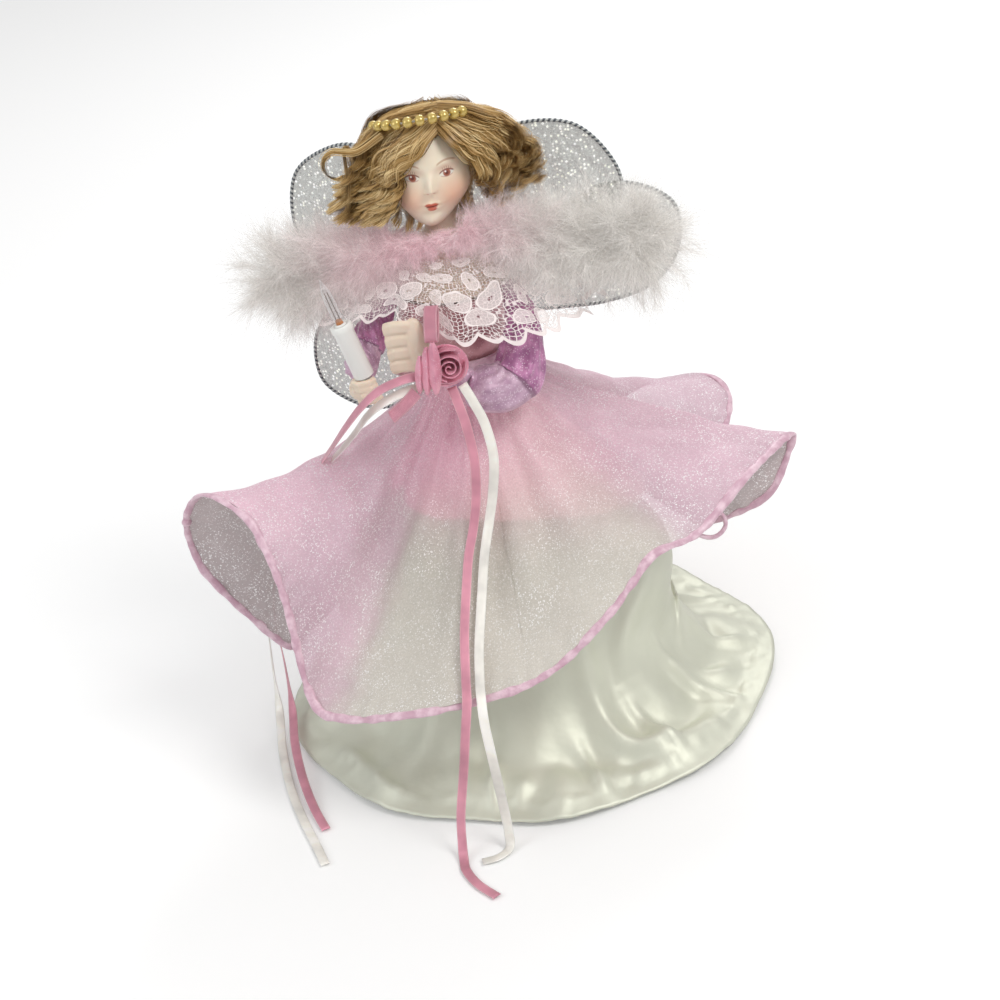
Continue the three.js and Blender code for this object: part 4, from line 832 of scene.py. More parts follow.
def porcelainFinish(name, painted):
    # The face's porcelain is painted lighter than the plain porcelain of the hands and shoulders, as painted
    # light on the face.
    skin = tint(244, 230, 208) if painted else tint(232, 214, 194)
    finish, tree, inputs = newFinish(name, skin, 0.42, {"Subsurface Weight": 0.12, "Subsurface Scale": 0.002})
    place = places(tree)
    color = shadeBy(skin, mottle(place, 70.0, 0.12))
    if painted:
        centred = vectorCalc("SUBTRACT", place, tuple(c * mm for c in headCentre))
        point = spread(unturned(centred, headTurn), (1000.0, 1000.0, 1000.0))

        def spot(color, paint, centre, size, soft, strength=1.0):
            values = {"Point": point, "Centre": centre, "Size": size, "Soft": soft}
            mask = useGroup(spotGroup, values)["Mask"]
            return mixColors(calc("MULTIPLY", mask, strength), color, paint)

        def arc(color, paint, centre, width, bend, thick, strength=1.0):
            values = {"Point": point, "Centre": centre, "Width": width, "Bend": bend, "Thick": thick}
            mask = useGroup(arcGroup, values)["Mask"]
            return mixColors(calc("MULTIPLY", mask, strength), color, paint)

        for s in (-1, 1):
            eye = s * 7.0 - 0.4
            color = spot(color, tint(238, 170, 136), (s * 9.8 - 1.3, 0, -9.0), (6.8, 1, 6.0), 0.9, 0.6)
            color = spot(color, tint(214, 168, 146), (eye, 0, 2.2), (4.4, 1, 1.8), 0.8, 0.5)
            color = spot(color, tint(238, 230, 220), (eye, 0, 0.0), (2.9, 1, 1.25), 0.15)
            color = spot(color, tint(164, 92, 70), (eye + 0.1, 0, 0.1), (1.5, 1, 1.4), 0.2)
            color = spot(color, tint(110, 52, 42), (eye + 0.1, 0, 0.1), (0.7, 1, 0.7), 0.3)
            # Painted highlight: a pale dot in each eye.
            color = spot(color, tint(250, 244, 236), (eye - 0.4, 0, 0.7), (0.38, 1, 0.38), 0.3)
            color = arc(color, tint(140, 84, 68), (eye, 0, 1.35), 3.2, 1.1, 0.34, 0.9)
            color = arc(color, tint(190, 128, 106), (eye, 0, -1.3), 2.7, -0.8, 0.2, 0.6)
            color = arc(color, tint(188, 142, 108), (eye + s * 0.4, 0, 5.6), 4.2, 1.4, 0.42, 0.65)
            for k in range(5):
                lash = (s * (5.6 + 0.85 * k) - 0.4, 0, 2.4 - 0.16 * (k - 1.4) ** 2)
                color = spot(color, tint(150, 96, 80), lash, (0.14, 1, 0.7), 0.4, 0.55)
            color = spot(color, tint(204, 136, 112), (s * 1.3 - 1.0, 0, -6.8), (0.55, 1, 0.4), 0.5, 0.6)
            color = spot(color, tint(198, 100, 78), (s * 1.1 - 1.7, 0, -12.3), (1.7, 1, 0.95), 0.3)
        color = spot(color, tint(204, 112, 90), (-1.7, 0, -13.9), (1.9, 1, 1.1), 0.3)
        color = arc(color, tint(156, 70, 54), (-1.7, 0, -13.0), 2.5, 0.3, 0.26, 0.85)
    plug(color, inputs["Base Color"])
    return finish


makePiece("head_and_face", bm, porcelainFinish("porcelain", True), "porcelain", "porcelain_head")
plainPorcelain = porcelainFinish("plain porcelain", False)
made = nodeCopy("porcelain_head", keep=lambda p: p.z < 249, detail=1, relax=2)
makePiece("shoulder_plate", made, plainPorcelain, "porcelain")
print("stage: head made")

# Wig: a dark cap, painted in the colour of hair in shade, and waved locks from a side part, ending in
# ringlets.
wigFinish, tree, inputs = newFinish("hair", tint(150, 118, 72), 0.34, {"Specular IOR Level": 0.3})
# The shade attribute holds each strand's own tone plus highlights painted along its waves and curls.
shade = addNode(tree, "Attribute", attribute_name="shade").outputs["Fac"]
color = mixColors(ramp(shade, 0.0, 0.5), tint(112, 80, 38), tint(190, 152, 94))
color = mixColors(ramp(shade, 0.5, 1.0), color, tint(240, 214, 160))
plug(color, inputs["Base Color"])
hair = dict(strands=42, loopStrands=46, steps=44, width=0.27, locks=52, cap=(17.6, 21.3, 23.0))
# Painted shade: the cap takes the darkest hair colour, as hair in shade under the locks.
capFinish = newFinish("hair underneath in shade", tint(112, 82, 44), 0.7)[0]
wigCap = bmesh.new()
bmesh.ops.create_uvsphere(wigCap, u_segments=48, v_segments=32, radius=1.0)
overFace = [vert for vert in wigCap.verts if vert.co.y < -0.35 - 0.5 * vert.co.z]
bmesh.ops.delete(wigCap, geom=overFace, context="VERTS")
for vert in wigCap.verts:
    vert.co = Vector(turned(np.array(vert.co) * hair["cap"], headTurn) + headCentre) * mm
makePiece("wig_cap", wigCap, capFinish, "hair", "wig")
curtains = {
    -1: [(6, -14, 19), (-2, -20, 13), (-11, -19.5, 5), (-15.5, -18, -2), (-18, -17, -10), (-21, -16, -17)],
    1: [(6, -14, 19), (11.5, -19, 12), (17, -17, 4), (20.5, -16, -4), (23, -15, -11), (26, -15, -16)],
}
crowns = {
    -1: [(5, 0, 24), (-8, -1, 24), (-18, -1, 20), (-27, -2, 12), (-33, -3, 4), (-39, -3, -5), (-42, -3, -15)],
    1: [(6, 0, 24), (19, -1, 22), (31, -1, 17), (40, -2, 9), (45, -3, 0), (45, -3, -7), (41, -3, -13)],
}
rng = np.random.default_rng(31)
guides = []
for side in (-1, 1):
    inner, outer = smoothCurve(curtains[side], 12), smoothCurve(crowns[side], 12)
    for i in range(hair["locks"]):
        d = 0.02 + 0.98 * ((i * 0.618) % 1.0)
        y = -11 + 27 * d * ((i * 0.381 + 0.13) % 1.0)
        roof = (1 + 22 * math.sqrt(1 - (max(y, 0) / 21) ** 2)) / 23
        mixed = inner * (1 - d) + (outer + [0, y, 0]) * d
        mixed[:, 2] = np.where(mixed[:, 2] > 0, mixed[:, 2] * (1 - d + d * roof), mixed[:, 2])
        loose = np.linspace(1, 0, 12)[:, None] ** 2 * [rng.uniform(-2.5, 2.5) * min(1, 2 * d), 0, 0]
        guides.append((mixed + loose + rng.normal(size=3) * [0.6, 0.8, 0.5], 1.0))
for i in range(36):  # back of the head
    x = -30 + 60 * ((i * 0.618) % 1.0)
    crown = (x * 0.2 + 3, 6 + i % 5, 21.2 - 0.6 * (i % 5))
    guides.append(([crown, (x * 0.6, 14, 17.5), (x * 0.85, 20, 6), (x, 21, -6), (x, 18, -18)], 0.8))
for i in range(18):  # beside the neck
    s = 1 if i < 11 else -1
    x, y = 9.4 + 1.0 * (i % 6), -9.0 + 3.0 * (i % 4)
    line = [(x + 3, y, 6), (x + 2.5, y, -4), (x, y + 1, -14), (x - 0.5, y + 1, -25)]
    guides.append((np.array(line) * [s, 1, 1], 0.4))
for i in range(20):  # over the ears
    s, y = 1 if i % 2 else -1, -2 + 0.8 * i
    top = 23 * math.sqrt(1 - (y / 21.5) ** 2)
    line = [(2 + 4 * s, y, top), (15, y, top * 0.62), (19.5, y + 1, 0), (21, y + 1, -10), (21.5, y, -19)]
    guides.append((np.array(line) * [s, 1, 1], 0.7))
loopCurl = dict(x=-35.5, z=9.0, radius=6.4)
ring = []
for k, a in enumerate(np.radians(np.arange(60, 430, 30))):
    x = loopCurl["x"] + loopCurl["radius"] * math.cos(a)
    ring.append((x, -14 + 0.35 * k, loopCurl["z"] + loopCurl["radius"] * math.sin(a)))
for k in range(2):  # loop curl at the right temple
    guides.append(([(-16, -14, 19), (-26, -14, 14), *ring, (-33.5, -13, 0), (-36, -13, -8 - 3 * k)], 0.0))
paths, facing, shades = [], [], []
run = np.linspace(0, 1, hair["steps"])
for guide, waving in guides:
    line = smoothCurve(guide, hair["steps"])
    phase, pitch = rng.uniform(0, 6.3), rng.uniform(17, 24)
    span = np.linalg.norm(np.diff(line, axis=0), axis=1).sum()
    out = unit(line * [1, 1.2, 0.9])
    sideWay = unit(np.cross(unit(np.gradient(line, axis=0)), out))
    wave = waving * np.sin(run * span / pitch * 2 * math.pi + phase) * 1.9 * smoothStep(run, 0.05, 0.5)
    curl = waving * smoothStep(run, 0.5, 0.85) * rng.uniform(2.6, 4.6)
    turn = run * span / rng.uniform(11, 15) * 2 * math.pi + phase
    aside = wave + curl * np.sin(turn)
    outward = 0.4 * wave + curl * (np.cos(turn) - 0.5)
    line = line + sideWay * aside[:, None] + out * outward[:, None]
    tone = rng.uniform(0.25, 0.75)
    for _ in range(hair["strands"] if waving else hair["loopStrands"]):
        a, b = rng.normal(size=2) * (1.0 if waving else 0.55)
        grow = (1.0 - 0.35 * smoothStep(run, 0.5, 0.9))[:, None]
        stray = rng.normal(size=3) * 0.5 * run[:, None] ** 2
        paths.append(line + sideWay * a * grow + out * b * grow + stray)
        facing.append(out)
        # Painted highlights: strands are lighter along one side of each curl and wave, and toward the outside
        # of a lock.
        glow = 0.16 * np.cos(turn) * smoothStep(run, 0.4, 0.8) + 0.09 * wave
        shades.append(np.clip(tone + rng.normal() * 0.18 + glow + 0.05 * b, 0, 1))
paths = turned(np.array(paths), headTurn) + headCentre
facing = turned(np.array(facing), headTurn)
widths = np.broadcast_to(hair["width"] * (1 - 0.5 * run**3), paths.shape[:2])
for k, chosen in enumerate(np.array_split(np.arange(len(paths)), 4)):
    name = f"hair_{k + 1}"
    made = strandMesh(name, paths[chosen], widths[chosen], facing[chosen], np.array(shades)[chosen])
    makePiece(name, made, wigFinish, "hair")
print("stage: hair made", len(paths))

# Halo: gold beads on a wire ring.
halo = dict(radius=20.5, tilt=-16.0, place=(0, -4, 280.8), beads=11, pitch=13.8)


def haloPoint(angle):
    a, t = np.radians(angle), math.radians(halo["tilt"])
    x, y = halo["radius"] * np.sin(a), -halo["radius"] * np.cos(a)
    return turned(np.stack([x, y * math.cos(t), y * math.sin(t)], -1), headTurn) + halo["place"]


shine = {"Metallic": 0.35, "Coat Weight": 0.6, "Specular IOR Level": 0.7}
goldBead = newFinish("gold bead", tint(206, 178, 96), 0.18, shine)[0]
beads = bmesh.new()
bulge = [(2.3 * math.cos(a) ** 0.6, 1.9 * math.sin(a)) for a in np.linspace(-1.25, 1.25, 13)]
profile = [(0.5, -1.9), *bulge, (0.5, 1.9)]
for i in range(halo["beads"]):
    angle = (i - 5) * halo["pitch"]
    way = Vector(haloPoint(angle + 1) - haloPoint(angle - 1))
    threaded = way.to_track_quat("Z", "Y").to_matrix().to_4x4()
    bead = spunMesh(profile, 20, placing(haloPoint(angle)) @ threaded)
    joined = bpy.data.meshes.new("bead")
    bead.to_mesh(joined)
    bead.free()
    beads.from_mesh(joined)
    bpy.data.meshes.remove(joined)
beadNodes = [f"halo_bead_{i + 1:02d}" for i in range(halo["beads"])]
makePiece("halo_beads", beads, goldBead, "gold_bead", *beadNodes)
steel = newFinish("wire", tint(176, 168, 150), 0.3, {"Metallic": 1.0})[0]
ring = haloPoint(np.linspace(0, 360, 121))
makePiece("halo_ring", tubeMesh(120, 8, ring, 0.45, closed=True), steel, "wire", "halo_wire")
print("stage: halo made")

# Feather boa: downy plumes on a core over both shoulders, pink at the neck.
featherFinish, tree, inputs = newFinish("feather", tint(232, 214, 216), 0.8, {"Sheen Weight": 0.4})
shade = addNode(tree, "Attribute", attribute_name="shade").outputs["Fac"]
reach = addNode(tree, "Attribute", attribute_name="reach").outputs["Fac"]
plume = mixColors(shade, tint(234, 231, 227), tint(242, 214, 220))
plug(plume, inputs["Base Color"])
# Painted light: the feathers glow faintly in their own colour, standing in for light passing through them.
plug(plume, inputs["Emission Color"])
inputs["Emission Strength"].default_value = 0.07
plug(ramp(reach, 0.3, 1.0, 0.75, 0.3), inputs["Alpha"])
boa = dict(plumes=720, barbs=120, steps=4, width=0.13,
           core=[(-78, -3, 211), (-62, -6, 215), (-46, -11, 220), (-30, -17, 227), (-14, -21.5, 232),
                 (2, -23.5, 235), (16, -20, 237), (32, -14, 233), (50, -10, 227), (66, -9, 225),
                 (84, -8, 224)],
           edge=[(-75, 176), (-58, 183), (-31, 204), (-21, 209), (-2, 219), (15, 219), (29, 201), (44, 187),
                 (75, 187)])
rng = np.random.default_rng(17)
core = smoothCurve(boa["core"], 400)
count = boa["plumes"]
share = np.clip(0.5 + 0.5 * np.sin((rng.random(count) - 0.46) * 2.8) / math.sin(1.35), 0, 1)
roots = along(core, share)
ways = unit(along(unit(np.gradient(core, axis=0)), share))
end = smoothStep(np.abs(roots[:, 0]), 52, 76)
puff = smoothStep(np.abs(roots[:, 0] - 2), 4, 40)
aimWay = unit(rng.normal(size=(count, 3)) * [1, 0.75, 1])
inLine = (aimWay * ways).sum(-1, keepdims=True)
aimWay = unit(aimWay - ways * inLine * (0.5 * (1 - end))[:, None])
length = (8 + 20 * puff) * rng.uniform(0.35, 1.0, count) * (1 - 0.35 * np.abs(aimWay[:, 1]))
bend = unit(np.cross(aimWay, rng.normal(size=(count, 3))) + [0, 0, -0.3])
place = rng.random((count, boa["barbs"], 1)) ** 0.7
stem = roots[:, None] + aimWay[:, None] * length[:, None, None] * place
stem = stem + bend[:, None] * (length * 0.3)[:, None, None] * place**2
stem = stem + rng.normal(size=stem.shape) * 0.5
tip = aimWay[:, None] * 0.9 + bend[:, None] * 0.5 * place
tip = unit(tip + rng.normal(size=tip.shape) * 0.55)
barb = (6.0 + 9.0 * puff)[:, None, None] * rng.uniform(0.6, 1.15, place.shape)
curl = unit(np.cross(tip, rng.normal(size=tip.shape)) + [0, 0, -0.4]) * rng.uniform(0.1, 0.35, place.shape)
t = np.linspace(0, 1, boa["steps"])[None, None, :, None]
paths = stem[:, :, None] + (tip[:, :, None] * t + curl[:, :, None] * t**2) * barb[:, :, None]
warm = 1.0 - 0.9 * smoothStep(np.abs(roots[:, 0] + 8), 14, 72)
blush = warm[:, None, None] * (1 - 0.55 * place * puff[:, None, None])
blush = np.clip(blush - 0.3 * t[..., 0] * puff[:, None, None], 0, 1).reshape(-1, boa["steps"])
paths = paths.reshape(-1, boa["steps"], 3)
x, y, z = paths[..., 0], paths[..., 1], paths[..., 2]
edge = np.array(boa["edge"], float)
onFace = (np.abs(x + 3) < 14) & (z > 238) & (y < 0)
onLace = (z < np.interp(x, edge[:, 0], edge[:, 1]) - 5) & (y < -8)
onCandle = (x > -54) & (x < -14) & (y < -36)
keep = ~(onFace | onLace | onCandle | (y > 22)).any(1)
paths, blush = paths[keep], blush[keep]
facing = np.broadcast_to(unit(rng.normal(size=(len(paths), 1, 3))), paths.shape)
widths = np.broadcast_to(boa["width"] * (1 - 0.5 * t[0, 0, :, 0]), paths.shape[:2])
for k, chosen in enumerate(np.array_split(np.arange(len(paths)), 3)):
    made = strandMesh(f"boa_{k + 1}", paths[chosen], widths[chosen], facing[chosen], blush[chosen])
    makePiece(f"boa_{k + 1}", made, featherFinish, "feather", *["feather_boa"][k:])
print("stage: boa made", len(paths))

# Lace collar.
lace = dict(columns=360, rows=60, repeat=31.25, top=227.0, drop=33.0)


def laceSurface(u, v):
    angle = 2 * math.pi * u

    def lift(middle, wide):
        return 0.36 * hill(turnGap(angle, middle), 0, wide)

    reach = v * (1 - lift(math.pi + 0.36, 0.55) - lift(0, 0.9) + 0.035 * np.cos(17 * angle))
    width, front, back = 28 + 33 * reach, 25 + 24 * reach, 18 + 13 * reach
    depth = np.where(np.cos(angle) < 0, front, back)
    wave = 1 + 0.04 * reach * np.cos(13 * angle) + 0.012 * reach * np.sin(41 * angle)
    level = lace["top"] - lace["drop"] * reach**1.2
    return np.stack([width * wave * np.sin(angle), depth * wave * np.cos(angle), level], -1)


# One lace petal: an ellipse with a corded edge and a round eyelet.
petalGroup, source, target = newGroup(
    "lace petal", dict(Point=(0, 0, 0), Centre=(0, 0, 0), Turn=(0, 0, 0), Half=(1, 1, 1)),
    ["Fill", "Cord", "Eyelet"])
values = {"Vector": source["Point"], "Location": source["Centre"], "Rotation": source["Turn"],
          "Scale": source["Half"]}
mapped = addNode(petalGroup, "Mapping", values, vector_type="TEXTURE").outputs[0]
gap = vectorCalc("LENGTH", spread(mapped, (1, 1, 0)))
fromEdge = calc("ABSOLUTE", calc("SUBTRACT", gap, 1.0))
plug(ramp(gap, 1.0, 0.95), target["Fill"])
plug(ramp(fromEdge, 0.11, 0.05), target["Cord"])
plug(ramp(gap, 0.15, 0.21), target["Eyelet"])

laceFinish, tree, inputs = newFinish("lace", tint(253, 242, 240), 0.7, {"Sheen Weight": 0.3})
flat = clothCoords(tree, 250.0, 46.0)
bent = addNode(tree, "TexNoise", {"Vector": flat, "Scale": 0.09, "Detail": 1.0}).outputs["Color"]
bent = vectorCalc("SUBTRACT", bent, (0.5, 0.5, 0.5))
flat = vectorCalc("ADD", spread(bent, (5.0, 5.0, 0.0)), flat)
values = {"Vector": flat, "Scale": 0.7, "Randomness": 0.5}
net = addNode(tree, "TexVoronoi", values, feature="DISTANCE_TO_EDGE").outputs["Distance"]
cover = calc("MULTIPLY", ramp(net, 0.14, 0.06), 0.85)
runAt, acrossAt = axes(flat)[:2]
repeats = calc("FRACT", calc("DIVIDE", runAt, lace["repeat"]))
repeat = calc("MULTIPLY", repeats, lace["repeat"])
motif = addNode(tree, "CombineXYZ", (repeat, acrossAt, 0.0)).outputs[0]
petals = [  # centre, turn, half lengths
    ((9, 24), 60, (6.6, 4.1)), ((21, 25), -52, (6.4, 4.0)), ((15, 34), 8, (5.6, 3.6)),
    ((15, 15), 90, (4.6, 3.0)), ((2.5, 36), 0, (3.2, 3.0)), ((27.5, 37), 0, (3.0, 2.9)),
    ((27, 13), 20, (4.6, 2.9)), ((3, 14), -25, (4.4, 2.9)), ((29, 26), 90, (4.6, 2.4)),
    ((15, 4), 0, (4.5, 2.6)), ((29, 5), 0, (3.5, 2.4)),
]
for (x, y), turn, half in petals:
    aimed = (0, 0, math.radians(turn))
    values = {"Point": motif, "Centre": (x, y, 0), "Turn": aimed, "Half": (*half, 1)}
    petal = useGroup(petalGroup, values)
    solid = calc("MULTIPLY", calc("MULTIPLY", petal["Fill"], 0.62), petal["Eyelet"])
    cover = calc("MAXIMUM", cover, calc("MAXIMUM", solid, petal["Cord"]))
edgeAt = clothAxes(tree)
lobe = calc("ABSOLUTE", calc("SINE", calc("MULTIPLY", edgeAt[0], 36 * math.pi)))
border = calc("SUBTRACT", calc("MULTIPLY_ADD", lobe, 0.07, 0.925), edgeAt[1])
hemBand = calc("MULTIPLY", ramp(border, 0.055, 0.035), 0.9)
cover = calc("MAXIMUM", cover, hemBand)
plug(calc("MULTIPLY", cover, calc("GREATER_THAN", border, 0.0)), inputs["Alpha"])
bump(inputs, cover, 0.3)
made = clothMesh(lace["columns"], lace["rows"], laceSurface, closed=True)
lacePiece = makePiece("lace_collar_net", made, laceFinish, "lace", "lace_collar")
print("stage: lace", round(clothArea(lacePiece), 5))


# Bodice, padding and waistband.
def satinFinish(name, color, shadedColor, scale):
    shine = {"Metallic": 0.25, "Sheen Weight": 0.3, "Specular IOR Level": 0.6}
    finish, tree, inputs = newFinish(name, color, 0.38, shine)
    place = places(tree)
    patches = noise(place, scale, 3.0, 0.5)
    # Painted sheen: noise patches turn the colour toward a shaded copy, and whitened glitter flecks are
    # painted glints.
    flecks = calc("MULTIPLY", scatter(place, 1700.0, 0.16)["Mask"], 0.45)
    body = mixColors(ramp(patches, 0.3, 0.65), shadedColor, color)
    plug(mixColors(flecks, body, (0.95, 0.85, 0.92, 1.0)), inputs["Base Color"])
    bump(inputs, calc("MULTIPLY_ADD", noise(place, 1400.0, 1.0), 0.2, patches), 0.3)
    return finish


dustyRose = satinFinish("dusty rose", tint(216, 168, 172), tint(178, 124, 128), 120.0)
paleMauve = satinFinish("pale mauve", tint(214, 178, 200), tint(176, 128, 158), 220.0)
cloth = newFinish("padding", tint(225, 215, 205), 0.9)[0]
makePiece("torso_padding", nodeCopy("torso", detail=1, relax=2), cloth, "padding", "torso")
bodiceMesh = nodeCopy("bodice", detail=1, relax=1)
for vert in bodiceMesh.verts:
    lowDown = float(smoothStep(-vert.co.z / mm, -198, -178))
    aside = float(smoothStep(-vert.co.x / mm, 2, 16))
    vert.co.x *= 1.0 + (0.25 + 0.64 * lowDown) * aside
    vert.co.z -= 5 * mm * lowDown * aside
    vert.co.y += 0.34 * vert.co.x * lowDown * aside  # fuller under the right arm
makePiece("bodice_cloth", bodiceMesh, dustyRose, "mauve_satin", "bodice")
made = nodeCopy("waistband", bevel=0.4, relax=1)
makePiece("waistband_cloth", made, pinkBinding, "pink_binding", "waistband")

# Sleeves and cuff, paler past the seam.
shine = {"Metallic": 0.12, "Sheen Weight": 0.3}
sleeveFinish, tree, inputs = newFinish("sleeve satin", tint(196, 138, 178), 0.5, shine)
place = places(tree)
crumple = noise(place, 150.0, 4.0, 0.6)
# Painted shade and highlight: the colour follows the crumple noise of the bump, darker in its hollows.
body = mixColors(ramp(crumple, 0.3, 0.7), tint(156, 94, 138), tint(214, 148, 192))
under = mixColors(ramp(crumple, 0.3, 0.7), tint(178, 138, 166), tint(220, 188, 208))
length = clothAxes(tree)[0]
body = mixColors(ramp(length, 0.64, 0.66), body, under)
seam = ramp(calc("ABSOLUTE", calc("SUBTRACT", length, 0.65)), 0.016, 0.004)
body = mixColors(calc("MULTIPLY", seam, 0.6), body, tint(92, 48, 78))
# Painted glints: glitter flecks whitened in the colour.
flecks = calc("MULTIPLY", scatter(place, 1500.0, 0.3)["Mask"], 0.55)
plug(mixColors(flecks, body, (0.95, 0.85, 0.93, 1.0)), inputs["Base Color"])
bump(inputs, crumple, 0.9)
sleeves = [
    dict(name="right_sleeve", body="right_arm", radii=[4, 7.4, 8.2, 7.2],
         route=[(-25.61, -6, 207), (-34, -14, 194), (-38, -26, 185), (-36, -36, 182)]),
    dict(name="left_sleeve", body="left_arm", radii=[4, 9, 12, 12, 9.5],
         route=[(25.61, -6, 207), (30, -15, 190), (27, -27, 173), (18, -34, 172), (9, -39.5, 179)]),
]
for plan in sleeves:
    line = smoothCurve(plan["route"], 90)
    radii = np.array(plan["radii"], float)
    girth = smoothCurve(np.c_[radii, 0 * radii, 0 * radii], 90)[:, :1]

    def swell(u, v, girth=girth):
        fold = 0.7 * np.cos(6 * 2 * math.pi * v + 5 * u) * np.sin(math.pi * u)
        fold = fold + 0.35 * np.cos(2 * math.pi * (11 * v + 6 * u))
        close = (1 - 0.12 * smoothStep(u, 0.63, 0.67)) * (1 - 0.6 * smoothStep(u, 0.9, 1.0))
        return (along(girth, u)[:, 0] + fold * smoothStep(u, 0.05, 0.3)) * close

    made = tubeMesh(90, 90, line, swell)
    makePiece(plan["name"] + "_cloth", made, sleeveFinish, "mauve_satin", plan["name"], body=plan["body"])
made = nodeCopy("left_cuff", detail=2, relax=2)
makePiece("left_cuff_cloth", made, paleMauve, "pale_mauve", "left_cuff", body="left_arm")
print("stage: bodice and sleeves made")

# Hands, with the left one lengthened about its palm.
palmLevel = 190.0 * mm
for name, body in (("right_hand", "right_arm"), ("left_hand", "left_arm")):
    made = nodeCopy(name)
    for vert in made.verts:
        palm = float(smoothStep(-vert.co.x / mm, -2, 6)) if name == "left_hand" else 0.0
        vert.co.x += palm * 0.35 * max(palmLevel - vert.co.z, 0)
        vert.co.z += palm * (0.9 * (vert.co.z - palmLevel) - 1.5 * mm)
    hand = makePiece(name + "_bisque", made, plainPorcelain, "porcelain", name, body=body)
    remesh = hand.modifiers.new("remesh", "REMESH")
    remesh.mode = "VOXEL"
    remesh.voxel_size = 0.4 * mm
    remesh.use_smooth_shade = True
    relax = hand.modifiers.new("relax", "SMOOTH")
    relax.factor = 0.5
    relax.iterations = 12

# Candle and lamp.
candle = dict(foot=(-30.5, -48, 187.5), lean=-13.0)
stand = placing(candle["foot"], candle["lean"], "Y")
candleFinish = newFinish("candle", tint(240, 240, 236), 0.35, {"Coat Weight": 0.2})[0]
profile = [(0.01, -5), (2.5, -5), (2.5, -0.2), (3.9, 0), (4.3, 0.5), (4.3, 21.2), (4.6, 21.7), (4.6, 24.0),
           (4.2, 24.5), (2.9, 24.5), (2.9, 10.5), (0.01, 10.5)]
makePiece("candle_tube", spunMesh(profile, 48, stand), candleFinish, "candle", "candle", body="right_arm")
copper = newFinish("lamp base", tint(190, 124, 78), 0.35)[0]
profile = [(0.01, 11.5), (2.6, 11.5), (2.6, 24.6), (2.3, 24.9), (0.01, 24.9)]
makePiece("lamp_base_cap", spunMesh(profile, 36, stand), candleFinish, "lamp_base", "lamp_base", body="lamp")
profile = [(0.01, 24.7), (1.6, 24.8), (1.5, 25.5), (1.3, 26.8), (0.01, 26.8)]
makePiece("lamp_neck", spunMesh(profile, 28, stand), copper, "lamp_base", body="lamp")
glassFinish, tree, inputs = newFinish("glass", tint(236, 238, 240), 0.05)
slant = addNode(tree, "LayerWeight", {"Blend": 0.4}).outputs["Facing"]
plug(ramp(slant, 0.2, 0.9, 0.14, 0.85), inputs["Alpha"])
leadFinish = newFinish("lamp leads", tint(96, 78, 66), 0.4)[0]
profile = [(1.5, 26.2), (1.9, 28), (2.1, 31), (2.1, 36), (1.7, 40), (0.9, 42.6), (0.5, 44.2), (0.3, 45.4),
           (0.01, 45.7)]
makePiece("lamp_bulb", spunMesh(profile, 36, stand), glassFinish, "glass", "lamp_glass", body="lamp")
leads = []
for s in (-1, 1):
    points = [Vector((s * 0.9 * (1 - 0.3 * k / 9), 0, 26.5 + 1.45 * k)) for k in range(10)]
    leads.append([stand @ (point * mm) / mm for point in points])
made = threadMesh("lamp_leads", leads, 0.2, 2)
makePiece("lamp_leads", made, leadFinish, "wire", "lamp_filament", body="lamp")
print("stage: hands and candle made")

# Wings: crinkled film in twisted cord rims.
filmFinish, tree, inputs = newFinish("wing film", tint(214, 218, 212), 0.22, {"Specular IOR Level": 0.8})
place = places(tree)
near = scatter(place, 700.0, 0.42)
dull = scatter(spread(place, (1.1, 0.9, 1.0)), 900.0, 0.22)["Mask"]
small = scatter(place, 1500.0, 0.45)["Mask"]
flecks = mixColors(near["Chance"], (1.0, 1.0, 1.0, 1.0), tint(246, 248, 230))
base = mixColors(small, tint(166, 168, 162), tint(222, 226, 222))
base = mixColors(calc("MULTIPLY", dull, 0.8), base, tint(112, 116, 112))
# Painted glints: the bright flecks are whitened in the colour and glow, though the film is no lamp.
plug(mixColors(near["Mask"], base, flecks), inputs["Base Color"])
plug(mixColors(near["Mask"], (0, 0, 0, 1), flecks), inputs["Emission Color"])
inputs["Emission Strength"].default_value = 0.42
cover = calc("MULTIPLY_ADD", small, 0.15, 0.75)
plug(calc("MAXIMUM", cover, near["Mask"]), inputs["Alpha"])
crackle = addNode(tree, "TexVoronoi", {"Vector": place, "Scale": 420.0}).outputs["Distance"]
bump(inputs, crackle, 0.9)
rimFinish, tree, inputs = newFinish("rim cord", tint(168, 172, 172), 0.4)
flat = clothAxes(tree)
twist = calc("FRACT", calc("ADD", calc("MULTIPLY", flat[0], 100.0), flat[1]))
stripe = ramp(calc("ABSOLUTE", calc("SUBTRACT", twist, 0.5)), 0.18, 0.3)
plug(mixColors(stripe, tint(78, 84, 92), tint(196, 200, 198)), inputs["Base Color"])
lobeShape = [(0.07, 0.05), (0.22, 0.2), (0.45, 0.41), (0.68, 0.5), (0.88, 0.37)]
wings = [
    dict(name="right_wing", side=-1, sweep=10, upper=38, lower=-28),
    dict(name="left_wing", side=1, sweep=12, upper=59, lower=26),
]
